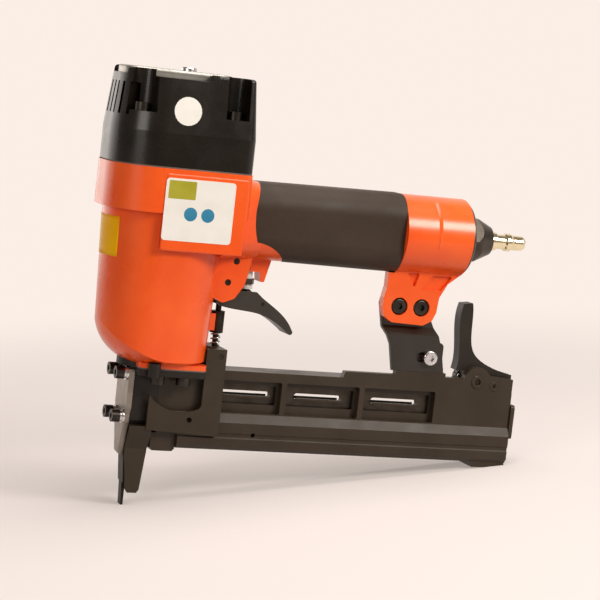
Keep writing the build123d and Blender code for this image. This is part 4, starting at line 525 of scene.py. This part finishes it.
# blank stickers: a white one with an olive patch and two blue discs on the near panel, and a round
# white one on the cap
facing_near = Matrix.Rotation(math.radians(90), 4, "X")
label_centre = Vector((17.2 * mm, -panel_outer_y, 185.4 * mm))
label_thickness, print_thickness = 0.12 * mm, 0.04 * mm
sticker_sheet("flank_label", width=43.4 * mm, height=37.0 * mm, corner=2.2 * mm,
              turn=Matrix.Translation(label_centre) @ facing_near, material=white_film)
patch_centre = label_centre + Vector((-11.4 * mm, -label_thickness, 11.8 * mm))
sticker_sheet("flank_label_patch", width=17.0 * mm, height=10.8 * mm, corner=0.6 * mm,
              turn=Matrix.Translation(patch_centre) @ facing_near, material=olive_film,
              thickness=print_thickness)
for disc_name, across in (("flank_label_disc_front", -5.0 * mm), ("flank_label_disc_rear", 5.8 * mm)):
    disc_centre = label_centre + Vector((across, -label_thickness, -2.2 * mm))
    sticker_sheet(disc_name, width=8.2 * mm, height=8.2 * mm, corner=4.09 * mm,
                  turn=Matrix.Translation(disc_centre) @ facing_near, material=blue_film,
                  thickness=print_thickness)
cap_taper = math.radians(5.6)
seal_centre = Vector((4.8 * mm, -32.74 * mm, 243.5 * mm))
sticker_sheet("cap_seal", width=17.0 * mm, height=17.0 * mm, corner=8.49 * mm,
              turn=Matrix.Translation(seal_centre) @ Matrix.Rotation(-cap_taper, 4, "X") @ facing_near,
              material=white_film)

# yellow sticker round the front of the barrel, which narrows towards its foot
barrel_radius, barrel_top_z, barrel_draft = 31.2 * mm, 182.5 * mm, math.tan(math.radians(2))
front_low_z, front_high_z = 153.0 * mm, 177.0 * mm
front_sticker("front_label", radius_low=barrel_radius - barrel_draft * (barrel_top_z - front_low_z),
              radius_high=barrel_radius - barrel_draft * (barrel_top_z - front_high_z),
              low_z=front_low_z, high_z=front_high_z, half_angle=math.radians(36), material=yellow_film)


# ---------------------------------------------------------------- lamps and world
def softbox(name, place, aim, width, height, watts, colour):
    """Rectangular lamp turned towards its aim."""
    data = bpy.data.lights.new(name, "AREA")
    data.shape = "RECTANGLE"
    data.size = width
    data.size_y = height
    data.energy = watts
    data.color = colour
    lamp = bpy.data.objects.new(name, data)
    lamp.matrix_world = (Matrix.Translation(place)
                         @ (Vector(aim) - Vector(place)).to_track_quat("-Z", "Y").to_matrix().to_4x4())
    scene.collection.objects.link(lamp)


middle = (cad_box[0] + cad_box[1]) / 2
softbox("overhead_softbox", (0.12, -0.06, 1.10), middle, width=0.62, height=0.70,
        watts=8.5, colour=(1, 0.97, 0.93))
softbox("left_softbox", (-0.50, 0.75, 0.22), (0.0, 0.0, 0.20), width=1.00, height=0.34,
        watts=1.45, colour=(1, 0.95, 0.90))
softbox("front_fill", (-0.70, -0.62, 0.42), middle, width=0.40, height=0.40,
        watts=2.5, colour=(1, 0.93, 0.86))
softbox("front_key", (0.72, -0.92, 0.90), middle, width=0.42, height=0.42,
        watts=13.4, colour=(1, 0.95, 0.89))

world = bpy.data.worlds.new("studio")
scene.world = world
world.use_nodes = True
background = world.node_tree.nodes["Background"]
background.inputs["Color"].default_value = (1.0, 0.90, 0.80, 1)
background.inputs["Strength"].default_value = 0.23


# ---------------------------------------------------------------- floor
def seen_directly(tree):
    """1 for what the camera, mirrors and glass see, 0 for the light that falls on the object."""
    path = tree.nodes.new("ShaderNodeLightPath")
    total = path.outputs["Is Camera Ray"]
    for ray in ("Is Glossy Ray", "Is Transmission Ray"):
        either = tree.nodes.new("ShaderNodeMath")
        either.operation = "ADD"
        either.use_clamp = True
        tree.links.new(total, either.inputs[0])
        tree.links.new(path.outputs[ray], either.inputs[1])
        total = either.outputs["Value"]
    return total


floor_material = bpy.data.materials.new("pale_floor")
floor_material.use_nodes = True
floor_tree = floor_material.node_tree
floor_shader = floor_tree.nodes["Principled BSDF"]
floor_shader.inputs["Roughness"].default_value = 0.9
floor_shader.inputs["Specular IOR Level"].default_value = 0.0
floor_shader.inputs["Emission Color"].default_value = (0.965, 0.858, 0.790, 1)

floor_middle = (0.08, 0.0, 0.0)
near_floor_reach, far_floor_reach = 0.30, 0.75


def with_distance(near, far):
    """Value that goes from near to far with the distance from the middle of the floor."""
    place = floor_tree.nodes.new("ShaderNodeTexCoord")
    distance = floor_tree.nodes.new("ShaderNodeVectorMath")
    distance.operation = "DISTANCE"
    distance.inputs[1].default_value = floor_middle
    floor_tree.links.new(place.outputs["Object"], distance.inputs[0])
    span = floor_tree.nodes.new("ShaderNodeMapRange")
    span.interpolation_type = "SMOOTHSTEP"
    span.inputs["From Min"].default_value = near_floor_reach
    span.inputs["From Max"].default_value = far_floor_reach
    span.inputs["To Min"].default_value = near
    span.inputs["To Max"].default_value = far
    floor_tree.links.new(distance.outputs["Value"], span.inputs["Value"])
    return span.outputs["Result"]


# round the tool the floor takes its shadow; further out it only glows
glow = floor_tree.nodes.new("ShaderNodeMath")
glow.operation = "MULTIPLY"
floor_tree.links.new(seen_directly(floor_tree), glow.inputs[0])
floor_tree.links.new(with_distance(0.34, 1.0), glow.inputs[1])
floor_tree.links.new(glow.outputs["Value"], floor_shader.inputs["Emission Strength"])
floor_tone = floor_tree.nodes.new("ShaderNodeMix")
floor_tone.data_type = "RGBA"
floor_tone.inputs["A"].default_value = (0.475, 0.435, 0.425, 1)
floor_tone.inputs["B"].default_value = (0.0, 0.0, 0.0, 1)
floor_tree.links.new(with_distance(0.0, 1.0), floor_tone.inputs["Factor"])
floor_tree.links.new(floor_tone.outputs["Result"], floor_shader.inputs["Base Color"])

# floor that ends in front of the tool, so that its flanks don't mirror it, and sweeps up behind it,
# square to the camera
floor_width, floor_depth, floor_shift = 8.0, 1.8, 0.3
back_y, sweep_radius, wall_height = floor_shift + floor_depth / 2, 0.9, 2.0
floor_work = bmesh.new()
bmesh.ops.create_grid(floor_work, x_segments=1, y_segments=1, size=0.5)
bmesh.ops.scale(floor_work, vec=(floor_width, floor_depth, 1), verts=floor_work.verts[:])
bmesh.ops.translate(floor_work, vec=(0, floor_shift, 0), verts=floor_work.verts[:])
back_edge = max(floor_work.edges, key=lambda e: sum(v.co.y for v in e.verts))
swept = bmesh.ops.spin(floor_work, geom=[back_edge, *back_edge.verts], cent=(0, back_y, sweep_radius),
                       axis=(1, 0, 0), angle=math.radians(90), steps=16)
raised = bmesh.ops.extrude_edge_only(floor_work, edges=[e for e in swept["geom_last"]
                                                        if isinstance(e, bmesh.types.BMEdge)])
bmesh.ops.translate(floor_work, vec=(0, 0, wall_height),
                    verts=[v for v in raised["geom"] if isinstance(v, bmesh.types.BMVert)])
camera_azimuth = math.radians(-20)
floor_place = (Matrix.Translation(nose_tip) @ Matrix.Rotation(-floor_tilt, 4, "Y")
               @ Matrix.Rotation(camera_azimuth, 4, "Z"))
bmesh.ops.transform(floor_work, matrix=floor_place, verts=floor_work.verts[:])
floor_mesh = bpy.data.meshes.new("floor")
floor_work.to_mesh(floor_mesh)
floor_work.free()
for face in floor_mesh.polygons:
    face.use_smooth = True
floor_mesh.materials.append(floor_material)
floor = bpy.data.objects.new("floor", floor_mesh)
scene.collection.objects.link(floor)


# ---------------------------------------------------------------- camera
camera_place = Vector((-0.3949, -1.2887, 0.2795))
camera_aim = Vector((0.1007, 0.0, 0.1332))
camera_roll = math.radians(-6.48)
forward = (camera_aim - camera_place).normalized()
side = forward.cross(Vector((0, 0, 1))).normalized()
upright = side.cross(forward)
camera_up = upright * math.cos(camera_roll) + side * math.sin(camera_roll)
camera_side = forward.cross(camera_up)
camera_data = bpy.data.cameras.new("camera")
camera_data.lens = 133.8
camera_data.sensor_width = 36.0
camera = bpy.data.objects.new("camera", camera_data)
camera.matrix_world = (Matrix.Translation(camera_place)
                       @ Matrix((camera_side, camera_up, -forward)).transposed().to_4x4())
scene.collection.objects.link(camera)
scene.camera = camera

scene.view_settings.view_transform = "Standard"
